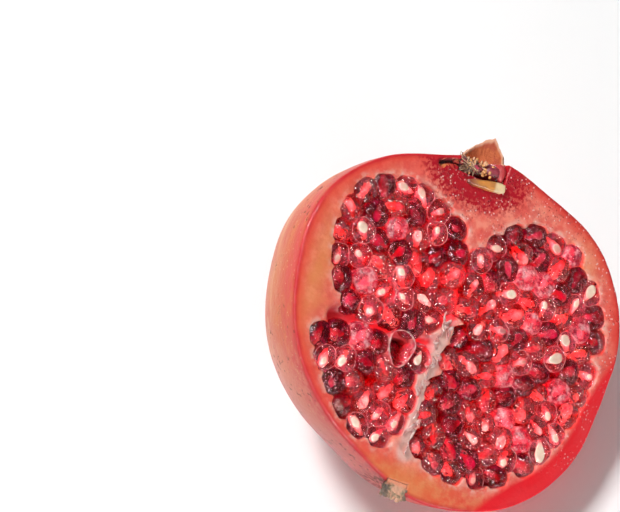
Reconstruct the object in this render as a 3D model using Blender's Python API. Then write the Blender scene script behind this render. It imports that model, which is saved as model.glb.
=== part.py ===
"""Half of a large ripe pomegranate, cut from crown to stem end, lying on its rounded back.

Metres, +Z up. Everything is modelled in the frame of the cut face: x across the face, y from the stem
end to the crown and z out of the cut. The empty half_pomegranate then leans the face and sets the small
flat spot of the rind on z = 0, with the origin on that spot. Sizes in the lists are millimetres.
"""

import math

import bmesh
import bpy
import numpy as np
from mathutils import Matrix, Vector

MM = 0.001
GAP = 0.3  # clearance between a piece and its neighbour

# How the half lies: the face leans back from level, and its centre stands over the table.
LEAN_DEG = 31.5
AXIS_ROLL_DEG = -62.0
FACE_CENTRE = (-2.3, 2.2, 43.7)

# The rind: radii of the cut rim every 22.5 degrees from +x, and the rounded back.
RIM_RADII = (
    49.4, 51.0, 49.7, 45.4, 45.3, 44.0, 47.3, 49.5,
    46.9, 44.5, 41.6, 39.9, 42.2, 44.0, 47.4, 49.5,
)
BACK_DEPTH = 46.0
BLOCKINESS = 2.2
RIM_STEPS = 64
BACK_STEPS = 10

# The crown: a cup on the fruit's axis with dried sepals round its back.
AXIS_X = -4.5
CUP_RADIUS = 7.2
CUP_FLOOR_Y = 38.6
CUP_PROFILE = ((0.35, 0.0), (0.8, 0.5), (1.0, 2.4), (1.0, 14.0))  # share of the radius, rise
CUP_STEPS = 24
CROWN_ROOT_Y = 40.0
CROWN_RIM_Y = 45.0
CROWN_WALL = 1.7
CROWN_THINNING = 0.5
CROWN_FLARE = 1.6
CROWN_SET_BACK = 0.05
CROWN_STEPS = 30
CROWN_LEVELS = (0.0, 0.5, 1.0)
# The sepals' edge as (angle round the cup in degrees, height on the fruit's axis)
CROWN_EDGE = (
    (0, 41.8), (25, 42.6), (50, 43.4), (67, 44.5), (79, 46.2), (88, 47.6), (101, 49.5),
    (116, 51.6), (127, 52.4), (134, 50.9), (149, 47.8), (153, 46.0), (165, 45.2), (180, 44.6),
)

# The stem end: a woody stub in a shallow seat that is open to the outside and to the cut.
STUB_Y = -41.6
STUB_RADIUS = 2.9
STUB_HEIGHT = 4.0
STUB_TAPER = 0.8
STUB_STEPS = 10
SEAT_MOUTH = 3.0

# The chambers: outlines on the cut face, anticlockwise, and how deep they go.
CHAMBERS = {
    "upper_left": (
        (-2.8, 2), (-2.6, 10), (-2.4, 18), (-4, 25), (-11, 29), (-20, 32), (-29, 30.5),
        (-36.5, 26.5), (-40, 17), (-39, 8), (-36, 0), (-30, -4.5), (-20, -4.3), (-9, -3.5),
    ),
    "lower_left": (
        (-5.7, -14), (-6.6, -7.2), (-17, -6.7), (-28, -7.5), (-38, -10.5), (-37.5, -15.5),
        (-33.5, -20.5), (-29, -25.5), (-24, -30), (-17, -33), (-8.4, -31.5), (-6.0, -23),
    ),
    "right": (
        (44, 1), (44, 12), (39, 23), (32, 31), (22, 33.5), (12, 33), (4, 27), (-0.3, 20.5),
        (-0.4, 10), (-0.2, -1), (-2.9, -9), (-3.4, -17), (-3.6, -25), (-3, -31), (6, -35),
        (19, -34), (30, -28), (37, -19), (41.5, -9),
    ),
}
CHAMBER_DEPTH = 30.0
CHAMBER_MOUTH = 2.0
BED_Z = -3.6
CHAMBER_RINGS = (BED_Z, -8.0, -16.0, -24.0)
INNER_DEPTH = 39.0
OUTLINE_STEPS = {"upper_left": 60, "lower_left": 48, "right": 80}
SPLINE_STEPS = 8

# The arils: seed sacs packed side by side, their roots sunk in the mass of arils below them.
ARIL_SPACING = 6.15
ARIL_CROWDING = 1.06
ARIL_INSET = 2.6
ARIL_HALF_WIDTH = (2.85, 3.35)
ARIL_STRETCH = (1.1, 1.4)
ARIL_TILT_DEG = (15.0, 80.0)
ARIL_HEADING_SPREAD = 0.9
ARIL_CENTRE_Z = (-3.3, -1.7)
ARIL_SCALLOP = 3.6
ARIL_SIDES = 6
ARIL_RING_ANGLES_DEG = (38.0, 78.0, 125.0)
ROOT_POINT = (-4.0, 0.0)
RELAX_ROUNDS = 120
RELAX_SHARE = 0.3
SEEDS = {"upper_left": 11, "lower_left": 23, "right": 37}

# The dried stamens and the style in the crown's cup.
STYLE_SIZE = (11.0, 2.8, 2.4)
STYLE_PLACE = (-3.2, 37.7, 0.1)
STYLE_TURN_DEG = 9.0
STYLE_EDGE = 0.6
MAT_THICKNESS = 1.1
MAT_Y = 41.1
MAT_MARGINS = (1.6, 1.2)  # inside the cup's radius, at the mat's foot and top
MAT_SET_BACK = 0.4
MAT_STEPS = 14
STAMEN_COUNT = 22
STAMEN_SPREAD = (0.15, 0.62)
STAMEN_LENGTH = (3.0, 6.2)
STAMEN_RADIUS = 0.42
STAMEN_TAPER = 0.35
STAMEN_CURL = 0.4
STAMEN_SET_BACK = 1.3
STAMEN_SIDES = 3
STAMEN_SEED = 5

COLOURS = {
    "rind": (0.72, 0.22, 0.14),
    "arils": (0.42, 0.01, 0.03),
    "stamens": (0.52, 0.30, 0.08),
    "style": (0.78, 0.48, 0.14),
    "stem": (0.20, 0.13, 0.07),
}


def clear_scene():
    for old in list(bpy.data.objects):
        bpy.data.objects.remove(old, do_unlink=True)


def finish(name, colour, roughness):
    """A plain material for one kind of tissue."""
    material = bpy.data.materials.new(name)
    material.use_nodes = True
    shader = material.node_tree.nodes["Principled BSDF"]
    shader.inputs["Base Color"].default_value = (*colour, 1.0)
    shader.inputs["Roughness"].default_value = roughness
    shader.inputs["Metallic"].default_value = 0.0
    return material


def smooth_loop(points, steps):
    """A closed Catmull-Rom curve through the points, with that many steps between two of them."""
    knots = np.array(points, float)
    before, after = np.roll(knots, 1, axis=0), np.roll(knots, -1, axis=0)
    beyond = np.roll(knots, -2, axis=0)
    pieces = []
    for t in np.arange(steps) / steps:
        pieces.append(0.5 * (
            2 * knots
            + (after - before) * t
            + (2 * before - 5 * knots + 4 * after - beyond) * t**2
            + (3 * knots - before - 3 * after + beyond) * t**3
        ))
    return np.stack(pieces, axis=1).reshape(-1, *knots.shape[1:])


def rim_radius(angle):
    """The rim's radius in the cut plane at an angle in radians."""
    radii = smooth_loop(RIM_RADII, SPLINE_STEPS)
    at = np.linspace(0, 2 * math.pi, len(radii), endpoint=False)
    return np.interp(np.asarray(angle) % (2 * math.pi), at, radii, period=2 * math.pi)


def mesh_object(name, bm, material=None):
    """Turns a bmesh in millimetres into an object in metres."""
    bmesh.ops.recalc_face_normals(bm, faces=bm.faces)
    bmesh.ops.scale(bm, vec=(MM, MM, MM), verts=bm.verts)
    mesh = bpy.data.meshes.new(name)
    bm.to_mesh(mesh)
    bm.free()
    thing = bpy.data.objects.new(name, mesh)
    bpy.context.collection.objects.link(thing)
    if material:
        mesh.materials.append(material)
    return thing


def add_rings(bm, rings):
    """Joins closed rings of equal length by quads, and caps the first and the last, its result."""
    made = [[bm.verts.new(point) for point in ring] for ring in rings]
    for low, high in zip(made, made[1:]):
        count = len(low)
        for i in range(count):
            j = (i + 1) % count
            bm.faces.new((low[i], low[j], high[j], high[i]))
    bm.faces.new(made[0])
    return bm.faces.new(made[-1])


def apply_boolean(thing, others, operation, solver="EXACT"):
    """Cuts or joins the others with the thing, and removes them."""
    tools = bpy.data.collections.new("tools")
    for other in others:
        tools.objects.link(other)
    modifier = thing.modifiers.new("boolean", "BOOLEAN")
    modifier.operation = operation
    modifier.solver = solver
    modifier.operand_type = "COLLECTION"
    modifier.collection = tools
    graph = bpy.context.evaluated_depsgraph_get()
    mesh = bpy.data.meshes.new_from_object(thing.evaluated_get(graph))
    thing.modifiers.remove(modifier)
    thing.data = mesh
    for other in others:
        bpy.data.objects.remove(other, do_unlink=True)
    bpy.data.collections.remove(tools)
    return thing


def placement():
    """From the cut face's frame to the table's frame."""
    lean = Matrix.Rotation(math.radians(LEAN_DEG), 4, "X")
    roll = Matrix.Rotation(math.radians(AXIS_ROLL_DEG), 4, "Z")
    return Matrix.Translation(Vector(FACE_CENTRE) * MM) @ lean @ roll


# Arils: where they sit and how each one lies


def loop_distance(points, loop):
    """Distance from each point to the loop, positive inside, and the way inwards."""
    start, end = loop, np.roll(loop, -1, axis=0)
    edge = end - start
    rel = points[:, None] - start[None]
    share = np.clip((rel * edge).sum(2) / (edge**2).sum(1), 0, 1)
    away = rel - share[..., None] * edge
    dist = np.hypot(away[..., 0], away[..., 1])
    nearest = dist.argmin(1)
    picked = np.arange(len(points))
    crosses = (start[:, 1] > points[:, None, 1]) != (end[:, 1] > points[:, None, 1])
    rise = np.where(edge[:, 1] == 0, 1e-9, edge[:, 1])
    reach = start[:, 0] + (points[:, None, 1] - start[:, 1]) * edge[:, 0] / rise
    inside = (crosses & (points[:, None, 0] < reach)).sum(1) % 2 == 1
    sign = np.where(inside, 1.0, -1.0)
    inwards = away[picked, nearest] / np.maximum(dist[picked, nearest], 1e-6)[:, None]
    return dist[picked, nearest] * sign, inwards * sign[:, None]


def loop_area(loop):
    x, y = loop[:, 0], loop[:, 1]
    return 0.5 * abs(np.dot(x, np.roll(y, -1)) - np.dot(y, np.roll(x, -1)))


def packed_points(loop, spacing, inset, draw):
    """Points spread evenly inside the loop: random ones that push each other apart."""
    width = loop.max(0) - loop.min(0)
    edge_length = np.hypot(*(np.roll(loop, -1, axis=0) - loop).T).sum()
    room = loop_area(loop) - edge_length * (inset - spacing / 2)
    count = int(room / (spacing**2 * math.sqrt(3) / 2))
    points = loop.min(0) + draw.random((count * 4, 2)) * width
    points = points[loop_distance(points, loop)[0] > inset][:count]
    while len(points) < count:
        more = loop.min(0) + draw.random((count, 2)) * width
        more = more[loop_distance(more, loop)[0] > inset]
        points = np.concatenate([points, more])[:count]
    for _ in range(RELAX_ROUNDS):
        apart = points[:, None] - points[None]
        dist = np.hypot(apart[..., 0], apart[..., 1]) + np.eye(count) * 1e9
        push = np.clip(spacing * ARIL_CROWDING - dist, 0, None) / dist
        points = points + RELAX_SHARE * (apart * push[..., None]).sum(1)
        depth, inwards = loop_distance(points, loop)
        points = points + inwards * np.clip(inset - depth, 0, None)[:, None]
    return points


def aril_layout(chamber):
    """The arils of one chamber: centre, long axis, half width and half length of each."""
    draw = np.random.default_rng(SEEDS[chamber])
    loop = smooth_loop(CHAMBERS[chamber], SPLINE_STEPS)
    places = packed_points(loop, ARIL_SPACING, ARIL_INSET, draw)
    arils = []
    for x, y in places:
        half_width = draw.uniform(*ARIL_HALF_WIDTH)
        half_length = half_width * draw.uniform(*ARIL_STRETCH)
        tilt = math.radians(draw.uniform(*ARIL_TILT_DEG))
        outwards = math.atan2(y - ROOT_POINT[1], x - ROOT_POINT[0])
        heading = outwards + draw.normal(0, ARIL_HEADING_SPREAD)
        z = draw.uniform(*ARIL_CENTRE_Z)
        axis = np.array([
            math.sin(tilt) * math.cos(heading),
            math.sin(tilt) * math.sin(heading),
            math.cos(tilt),
        ])
        arils.append((np.array([x, y, z]), axis, half_width, half_length))
    return arils


def scalloped_loop(chamber, grow):
    """The chamber's outline on the cut: round bites where its outermost arils press into the rind."""
    loop = smooth_loop(CHAMBERS[chamber], SPLINE_STEPS)
    eye = loop.mean(0)
    centres = np.array([centre[:2] for centre, *_ in aril_layout(chamber)]) - eye
    points = []
    for angle in np.arange(OUTLINE_STEPS[chamber]) * 2 * math.pi / OUTLINE_STEPS[chamber]:
        ray = np.array([math.cos(angle), math.sin(angle)])
        along = centres @ ray
        off = (centres**2).sum(1) - along**2
        hits = off < ARIL_SCALLOP**2
        reach = along[hits] + np.sqrt(ARIL_SCALLOP**2 - off[hits])
        points.append(eye + ray * (reach.max() + grow))
    return np.array(points)


def chamber_solid(name, chamber, grow, top):
    """The room of a chamber, or its filling, narrowing with depth as the rounded back does."""
    loop = scalloped_loop(chamber, grow)
    levels = sorted({top, *CHAMBER_RINGS, -CHAMBER_DEPTH - grow}, reverse=True)
    rings = []
    for z in levels:
        deep = min(0.0, z) / INNER_DEPTH
        shrink = (1 - abs(deep) ** BLOCKINESS) ** (1 / BLOCKINESS)
        rings.append([(x * shrink, y * shrink, z) for x, y in loop])
    bm = bmesh.new()
    add_rings(bm, rings)
    return mesh_object(name, bm)


def aril_solid(name, centre, axis, half_width, half_length):
    """One aril with few sides: a six-sided gem, longer along its axis."""
    turn = Vector(axis).to_track_quat("Z", "Y").to_matrix()
    bm = bmesh.new()
    pole = bm.verts.new((0, 0, half_length))
    rings = []
    for k, polar in enumerate(np.radians(ARIL_RING_ANGLES_DEG)):
        ring = []
        for i in range(ARIL_SIDES):
            around = (i + 0.5 * k) * 2 * math.pi / ARIL_SIDES
            ring.append(bm.verts.new((
                half_width * math.sin(polar) * math.cos(around),
                half_width * math.sin(polar) * math.sin(around),
                half_length * math.cos(polar),
            )))
        rings.append(ring)
    foot = bm.verts.new((0, 0, -half_length))
    for i in range(ARIL_SIDES):
        j = (i + 1) % ARIL_SIDES
        bm.faces.new((pole, rings[0][i], rings[0][j]))
        for low, high in zip(rings[1:], rings):
            bm.faces.new((high[i], low[i], high[j]))
            bm.faces.new((high[j], low[i], low[j]))
        bm.faces.new((foot, rings[-1][j], rings[-1][i]))
    for vert in bm.verts:
        vert.co = turn @ vert.co + Vector(centre)
    return mesh_object(name, bm)


def build_arils(chamber, material):
    """All arils of a chamber as one body on the mass of arils that fills the room below."""
    name = f"arils_{chamber}"
    body = chamber_solid(name, chamber, -GAP, BED_Z)
    loose = []
    for i, (centre, axis, half_width, half_length) in enumerate(aril_layout(chamber)):
        footprint = math.hypot(half_length * math.hypot(*axis[:2]), half_width * axis[2])
        fit = min(1.0, (ARIL_SCALLOP - GAP) / footprint)
        loose.append(
            aril_solid(f"aril_{i}", centre, axis, half_width * fit, half_length * fit)
        )
    apply_boolean(body, loose, "UNION", "MANIFOLD")
    body.data.materials.clear()
    body.data.materials.append(material)
    return body


# The rind, with the crown grown on it


def rind_body():
    """The rind's whole outside: the rounded back behind a flat cut."""
    around = np.arange(RIM_STEPS) * 2 * math.pi / RIM_STEPS
    radii = rim_radius(around)
    power = 2 / BLOCKINESS
    rings = []
    for k in range(BACK_STEPS):
        latitude = math.pi / 2 * k / BACK_STEPS
        out, down = math.cos(latitude) ** power, math.sin(latitude) ** power
        rings.append([
            (r * out * math.cos(a), r * out * math.sin(a), -BACK_DEPTH * down)
            for r, a in zip(radii, around)
        ])
    bm = bmesh.new()
    innermost = add_rings(bm, rings)
    bmesh.ops.poke(bm, faces=[innermost], offset=0.0)
    pole = min(bm.verts, key=lambda vert: math.hypot(vert.co.x, vert.co.y))
    pole.co = (0, 0, -BACK_DEPTH)
    return mesh_object("rind", bm)


def crown_wall():
    """Half a ring of leathery sepals standing behind the cut, its foot sunk in the rind."""
    outer, inner = [], []
    tallest = max(height for _, height in CROWN_EDGE)
    for i in range(CROWN_STEPS + 1):
        angle = 180.0 * i / CROWN_STEPS
        edge = float(np.interp(angle, *zip(*CROWN_EDGE)))
        lean_out = max(0.0, edge - CROWN_RIM_Y) / (tallest - CROWN_RIM_Y)
        side = math.radians(angle)
        for t in CROWN_LEVELS:
            y = CROWN_ROOT_Y + (edge - CROWN_ROOT_Y) * t
            flare = CROWN_FLARE * t * lean_out
            thickness = CROWN_WALL * (1 - CROWN_THINNING * t)
            for store, radius in (
                (inner, CUP_RADIUS + flare),
                (outer, CUP_RADIUS + flare + thickness),
            ):
                store.append((
                    AXIS_X - radius * math.cos(side),
                    y,
                    -radius * math.sin(side) - CROWN_SET_BACK,
                ))
    bm = bmesh.new()
    rows = len(CROWN_LEVELS)
    inside = [bm.verts.new(p) for p in inner]
    outside = [bm.verts.new(p) for p in outer]
    for i in range(CROWN_STEPS):
        for k in range(rows - 1):
            a, b = i * rows + k, (i + 1) * rows + k
            bm.faces.new((inside[a], inside[b], inside[b + 1], inside[a + 1]))
            bm.faces.new((outside[a + 1], outside[b + 1], outside[b], outside[a]))
        for row in (i * rows, i * rows + rows - 1):
            bm.faces.new((inside[row], outside[row], outside[row + rows], inside[row + rows]))
    for end in (0, CROWN_STEPS):
        for k in range(rows - 1):
            a = end * rows + k
            bm.faces.new((inside[a], inside[a + 1], outside[a + 1], outside[a]))
    return mesh_object("crown", bm)


def crown_cup():
    """The hollow of the crown: a bowl on the fruit's axis, open to the crown's top."""
    bm = bmesh.new()
    rings = []
    for share, rise in CUP_PROFILE:
        ring = []
        for i in range(CUP_STEPS):
            turn = i * 2 * math.pi / CUP_STEPS
            ring.append((
                AXIS_X + CUP_RADIUS * share * math.cos(turn),
                CUP_FLOOR_Y + rise,
                CUP_RADIUS * share * math.sin(turn),
            ))
        rings.append(ring)
    add_rings(bm, rings)
    return mesh_object("cup", bm)


def half_round(radius, y, set_back, steps):
    """A half circle round the fruit's axis, behind the cut, from one side to the other."""
    turns = [math.pi * i / steps for i in range(steps + 1)]
    return [
        (AXIS_X - radius * math.cos(turn), y, -set_back - radius * math.sin(turn))
        for turn in turns
    ]


def stub_solid(material):
    """Half of the woody stem stub, cut with the fruit."""
    bm = bmesh.new()
    add_rings(bm, [
        half_round(STUB_RADIUS * STUB_TAPER, STUB_Y + STUB_HEIGHT / 2, 0.0, STUB_STEPS),
        half_round(STUB_RADIUS, STUB_Y - STUB_HEIGHT / 2, 0.0, STUB_STEPS),
    ])
    return mesh_object("stem_stub", bm, material)


def stub_seat():
    """The room for the stub, a gap wider, and open towards the outside and the cut."""
    radius = STUB_RADIUS + GAP
    rings = []
    for y in (STUB_Y + STUB_HEIGHT / 2 + GAP, STUB_Y - STUB_HEIGHT / 2 - SEAT_MOUTH):
        front = [(AXIS_X + radius, y, SEAT_MOUTH), (AXIS_X - radius, y, SEAT_MOUTH)]
        rings.append(half_round(radius, y, 0.0, STUB_STEPS) + front)
    bm = bmesh.new()
    add_rings(bm, rings)
    return mesh_object("seat", bm)


def style_solid(name, grow, material=None):
    """The stump of the style, lying across the cup's floor; grown a little it is its bed."""
    bm = bmesh.new()
    bmesh.ops.create_cube(bm, size=1.0)
    size = [side + 2 * grow for side in STYLE_SIZE]
    bmesh.ops.scale(bm, vec=size, verts=bm.verts)
    if not grow:
        bmesh.ops.bevel(
            bm, geom=bm.edges, offset=STYLE_EDGE, segments=1, affect="EDGES", profile=0.5
        )
    turn = Matrix.Rotation(math.radians(STYLE_TURN_DEG), 4, "Z")
    bmesh.ops.transform(bm, matrix=Matrix.Translation(STYLE_PLACE) @ turn, verts=bm.verts)
    return mesh_object(name, bm, material)


def flatten_rest_spot(thing):
    """Cuts the rounded back level where it meets the table, which leaves the small flat spot."""
    to_table = placement()
    down = to_table.inverted().to_3x3() @ Vector((0, 0, -1))
    on_table = to_table.inverted() @ Vector((0, 0, 0))
    bm = bmesh.new()
    bm.from_mesh(thing.data)
    geometry = list(bm.verts) + list(bm.edges) + list(bm.faces)
    cut = bmesh.ops.bisect_plane(
        bm, geom=geometry, plane_co=on_table, plane_no=down, clear_outer=True
    )
    edges = [e for e in cut["geom_cut"] if isinstance(e, bmesh.types.BMEdge)]
    bmesh.ops.contextual_create(bm, geom=edges)
    bmesh.ops.recalc_face_normals(bm, faces=bm.faces)
    bm.to_mesh(thing.data)
    bm.free()


def build_rind(material):
    body = rind_body()
    flatten_rest_spot(body)
    apply_boolean(body, [crown_wall()], "UNION")
    cutters = [chamber_solid(f"room_{c}", c, 0.0, CHAMBER_MOUTH) for c in CHAMBERS]
    cutters += [crown_cup(), stub_seat(), style_solid("bed", GAP)]
    for cutter in cutters:
        apply_boolean(body, [cutter], "DIFFERENCE")
    body.data.materials.clear()
    body.data.materials.append(material)
    return body


def build_stamens(material):
    """A mat of dried stamens on the cup's floor, with filaments curling up out of it."""
    draw = np.random.default_rng(STAMEN_SEED)
    bm = bmesh.new()
    add_rings(bm, [
        half_round(CUP_RADIUS - margin, MAT_Y + rise, MAT_SET_BACK, MAT_STEPS)
        for margin, rise in zip(MAT_MARGINS, (0.0, MAT_THICKNESS))
    ])
    mat = mesh_object("stamens", bm)
    filaments = []
    for number in range(STAMEN_COUNT):
        turn = math.pi * (number + draw.random()) / STAMEN_COUNT
        radius = CUP_RADIUS * draw.uniform(*STAMEN_SPREAD)
        root = Vector((
            AXIS_X - radius * math.cos(turn),
            MAT_Y + MAT_THICKNESS / 3,
            -STAMEN_SET_BACK - radius * math.sin(turn),
        ))
        lean = Vector((draw.normal(0, 0.45), 1.0, draw.normal(0.1, 0.3))).normalized()
        curl = Vector((draw.normal(0, 0.5), draw.uniform(-0.5, 0.0), draw.normal(0, 0.3)))
        length = draw.uniform(*STAMEN_LENGTH)
        side = lean.orthogonal().normalized()
        other = lean.cross(side)
        filament = bmesh.new()
        loops = []
        for t in (0.0, 0.5, 1.0):
            middle = root + lean * length * t + curl * length * STAMEN_CURL * t * t
            thick = STAMEN_RADIUS * (1 - STAMEN_TAPER * t)
            turns = [2 * math.pi * i / STAMEN_SIDES for i in range(STAMEN_SIDES)]
            loops.append([
                middle + (side * math.cos(a) + other * math.sin(a)) * thick for a in turns
            ])
        add_rings(filament, loops)
        filaments.append(mesh_object(f"filament_{number}", filament))
    apply_boolean(mat, filaments, "UNION", "MANIFOLD")
    mat.data.materials.clear()
    mat.data.materials.append(material)
    return mat


def shade(thing, angle_deg):
    thing.data.shade_smooth()
    thing.data.set_sharp_from_angle(angle=math.radians(angle_deg))


def main():
    clear_scene()
    whole = bpy.data.objects.new("half_pomegranate", None)
    bpy.context.collection.objects.link(whole)
    whole.matrix_world = placement()
    rind = build_rind(finish("rind", COLOURS["rind"], 0.45))
    shade(rind, 35)
    pieces = [rind]
    flesh = finish("arils", COLOURS["arils"], 0.15)
    for chamber in CHAMBERS:
        cluster = build_arils(chamber, flesh)
        shade(cluster, 50)
        pieces.append(cluster)
    pieces.append(build_stamens(finish("stamens", COLOURS["stamens"], 0.8)))
    pieces.append(style_solid("style", 0.0, finish("style", COLOURS["style"], 0.5)))
    pieces.append(stub_solid(finish("stem", COLOURS["stem"], 0.85)))
    for piece in pieces:
        piece.parent = whole


main()
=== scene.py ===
"""Looks of a pomegranate half: skin, pith, arils with their seeds, membranes, crown and stem stub.

Shapes are made in the frame of the cut face, in millimetres: x across the face, y from the stem end to the
crown, z out of the cut. Each piece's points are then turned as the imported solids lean, on the small flat
spot at the origin, and its material turns them back to grow its pattern in the same frame.
"""

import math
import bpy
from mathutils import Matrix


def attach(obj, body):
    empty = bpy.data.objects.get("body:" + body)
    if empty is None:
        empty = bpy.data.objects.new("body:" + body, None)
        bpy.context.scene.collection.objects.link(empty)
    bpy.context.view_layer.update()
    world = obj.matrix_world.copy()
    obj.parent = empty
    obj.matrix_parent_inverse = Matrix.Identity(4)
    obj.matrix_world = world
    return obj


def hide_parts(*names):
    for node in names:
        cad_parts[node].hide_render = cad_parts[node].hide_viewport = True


bl_info = {
    "name": "Pomegranate Half",
    "version": (1, 0, 0),
    "blender": (4, 5, 0),
    "location": "View3D > Sidebar > Pomegranate",
    "description": "Skin, pith, arils and crown of a cut pomegranate, built round its packed solids",
    "category": "Add Mesh",
}

import bmesh
import bpy
import numpy as np
from mathutils import Matrix, Vector
from mathutils.geometry import delaunay_2d_cdt

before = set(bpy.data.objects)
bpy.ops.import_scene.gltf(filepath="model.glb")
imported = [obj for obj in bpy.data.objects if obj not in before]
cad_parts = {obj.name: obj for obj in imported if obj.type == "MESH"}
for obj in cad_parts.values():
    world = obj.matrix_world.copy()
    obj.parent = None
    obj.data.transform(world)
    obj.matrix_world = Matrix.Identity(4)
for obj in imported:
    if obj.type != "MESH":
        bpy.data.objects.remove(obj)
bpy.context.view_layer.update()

MM = 0.001

# How the half lies
LEAN_DEG = 31.5
AXIS_ROLL_DEG = -62.0
FACE_CENTRE = (-2.3, 2.2, 43.7)

# The rind, as in the solids
RIM_RADII = (
    49.4, 51.0, 49.7, 45.4, 45.3, 44.0, 47.3, 49.5,
    46.9, 44.5, 41.6, 39.9, 42.2, 44.0, 47.4, 49.5,
)
BACK_DEPTH = 46.0
BLOCKINESS = 2.2
AXIS_X = -4.5
CHAMBERS = {
    "upper_left": (
        (-2.8, 2), (-2.6, 10), (-2.4, 18), (-4, 25), (-11, 29), (-20, 32), (-29, 30.5),
        (-36.5, 26.5), (-40, 17), (-39, 8), (-36, 0), (-30, -4.5), (-20, -4.3), (-9, -3.5),
    ),
    "lower_left": (
        (-5.7, -14), (-6.6, -7.2), (-17, -6.7), (-28, -7.5), (-38, -10.5), (-37.5, -15.5),
        (-33.5, -20.5), (-29, -25.5), (-24, -30), (-17, -33), (-8.4, -31.5), (-6.0, -23),
    ),
    "right": (
        (44, 1), (44, 12), (39, 23), (32, 31), (22, 33.5), (12, 33), (4, 27), (-0.3, 20.5),
        (-0.4, 10), (-0.2, -1), (-2.9, -9), (-3.4, -17), (-3.6, -25), (-3, -31), (6, -35),
        (19, -34), (30, -28), (37, -19), (41.5, -9),
    ),
}
SPLINE_STEPS = 8

# The arils' places, as in the solids
ARIL_SPACING = 6.15
ARIL_CROWDING = 1.06
ARIL_INSET = 2.6
ARIL_HALF_WIDTH = (2.85, 3.35)
ARIL_STRETCH = (1.1, 1.4)
ARIL_TILT_DEG = (15.0, 80.0)
ARIL_HEADING_SPREAD = 0.9
ARIL_CENTRE_Z = (-3.3, -1.7)
ROOT_POINT = (-4.0, 0.0)
RELAX_ROUNDS = 120
RELAX_SHARE = 0.3
SEEDS = {"upper_left": 11, "lower_left": 23, "right": 37}

# The photograph's view of the face
LENS = 135.0
SENSOR = 36.0
IMAGE_SIZE = (620, 512)
PIXELS_PER_MM = 4.07
FACE_PIXEL = (455, 333)
FACE_TURN_DEG = 30.0
FACE_TILT_DEG = 5.0
CROWN_PIXELS = (93, 320)


def placement():
    """From the cut face's frame, in metres, to the table's frame."""
    lean = Matrix.Rotation(math.radians(LEAN_DEG), 4, "X")
    roll = Matrix.Rotation(math.radians(AXIS_ROLL_DEG), 4, "Z")
    return Matrix.Translation(Vector(FACE_CENTRE) * MM) @ lean @ roll


# Curves and distances on the cut


def smooth_loop(points, steps):
    """A closed Catmull-Rom curve through the points, with that many steps between two of them."""
    knots = np.array(points, float)
    before, after = np.roll(knots, 1, axis=0), np.roll(knots, -1, axis=0)
    beyond = np.roll(knots, -2, axis=0)
    pieces = []
    for t in np.arange(steps) / steps:
        pieces.append(0.5 * (
            2 * knots
            + (after - before) * t
            + (2 * before - 5 * knots + 4 * after - beyond) * t**2
            + (3 * knots - before - 3 * after + beyond) * t**3
        ))
    return np.stack(pieces, axis=1).reshape(-1, *knots.shape[1:])


def rim_radius(angle):
    """The rim's radius in the cut plane at an angle in radians."""
    radii = smooth_loop(RIM_RADII, SPLINE_STEPS)
    at = np.linspace(0, 2 * math.pi, len(radii), endpoint=False)
    return np.interp(np.asarray(angle) % (2 * math.pi), at, radii, period=2 * math.pi)


def loop_distance(points, loop):
    """Distance from each point to the loop, positive inside, and the way inwards."""
    start, end = loop, np.roll(loop, -1, axis=0)
    edge = end - start
    rel = points[:, None] - start[None]
    share = np.clip((rel * edge).sum(2) / (edge**2).sum(1), 0, 1)
    away = rel - share[..., None] * edge
    dist = np.hypot(away[..., 0], away[..., 1])
    nearest = dist.argmin(1)
    picked = np.arange(len(points))
    crosses = (start[:, 1] > points[:, None, 1]) != (end[:, 1] > points[:, None, 1])
    rise = np.where(edge[:, 1] == 0, 1e-9, edge[:, 1])
    reach = start[:, 0] + (points[:, None, 1] - start[:, 1]) * edge[:, 0] / rise
    inside = (crosses & (points[:, None, 0] < reach)).sum(1) % 2 == 1
    sign = np.where(inside, 1.0, -1.0)
    inwards = away[picked, nearest] / np.maximum(dist[picked, nearest], 1e-6)[:, None]
    return dist[picked, nearest] * sign, inwards * sign[:, None]


def inward_ways(loop):
    """The way into the loop, which runs anticlockwise, at each of its points."""
    ahead = np.roll(loop, -1, axis=0) - np.roll(loop, 1, axis=0)
    inwards = np.stack([-ahead[:, 1], ahead[:, 0]], axis=1)
    return inwards / np.linalg.norm(inwards, axis=1)[:, None]


def at_level(flat, z):
    """Points of the plane lifted to one height, or each to its own."""
    return np.column_stack([flat, np.broadcast_to(z, len(flat))])


def loop_area(loop):
    x, y = loop[:, 0], loop[:, 1]
    return 0.5 * abs(np.dot(x, np.roll(y, -1)) - np.dot(y, np.roll(x, -1)))


def line_distance(points, line):
    """Distance from each point to an open line of points."""
    line = np.array(line, float)
    start, edge = line[:-1], line[1:] - line[:-1]
    rel = points[:, None] - start[None]
    share = np.clip((rel * edge).sum(2) / (edge**2).sum(1), 0, 1)
    away = rel - share[..., None] * edge
    return np.hypot(away[..., 0], away[..., 1]).min(1)


def even_loop(points, count):
    """The closed line through the points, as that many evenly spaced ones."""
    closed = np.concatenate([points, points[:1]])
    run = np.concatenate([[0], np.cumsum(np.hypot(*np.diff(closed, axis=0).T))])
    at = np.linspace(0, run[-1], count, endpoint=False)
    return np.stack([np.interp(at, run, closed[:, k]) for k in range(2)], axis=1)


def ripple(points, scale, seed, octaves=3):
    """Smooth noise from -1 to 1 at points in millimetres; scale is the size of its largest bumps."""
    draw = np.random.default_rng(seed)
    total, weight = 0.0, 0.0
    for octave in range(octaves):
        size, part = scale / 2**octave, 0.5**octave
        for _ in range(7):
            way = draw.normal(size=points.shape[1])
            way *= 2 * math.pi / size / np.linalg.norm(way) * draw.uniform(0.6, 1.3)
            total = total + part * np.sin(points @ way + draw.uniform(0, 2 * math.pi))
            weight += part
    return total / weight * 2.2


def soft_step(value, low, high):
    t = np.clip((value - low) / (high - low), 0, 1)
    return t * t * (3 - 2 * t)


# Meshes and materials


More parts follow.
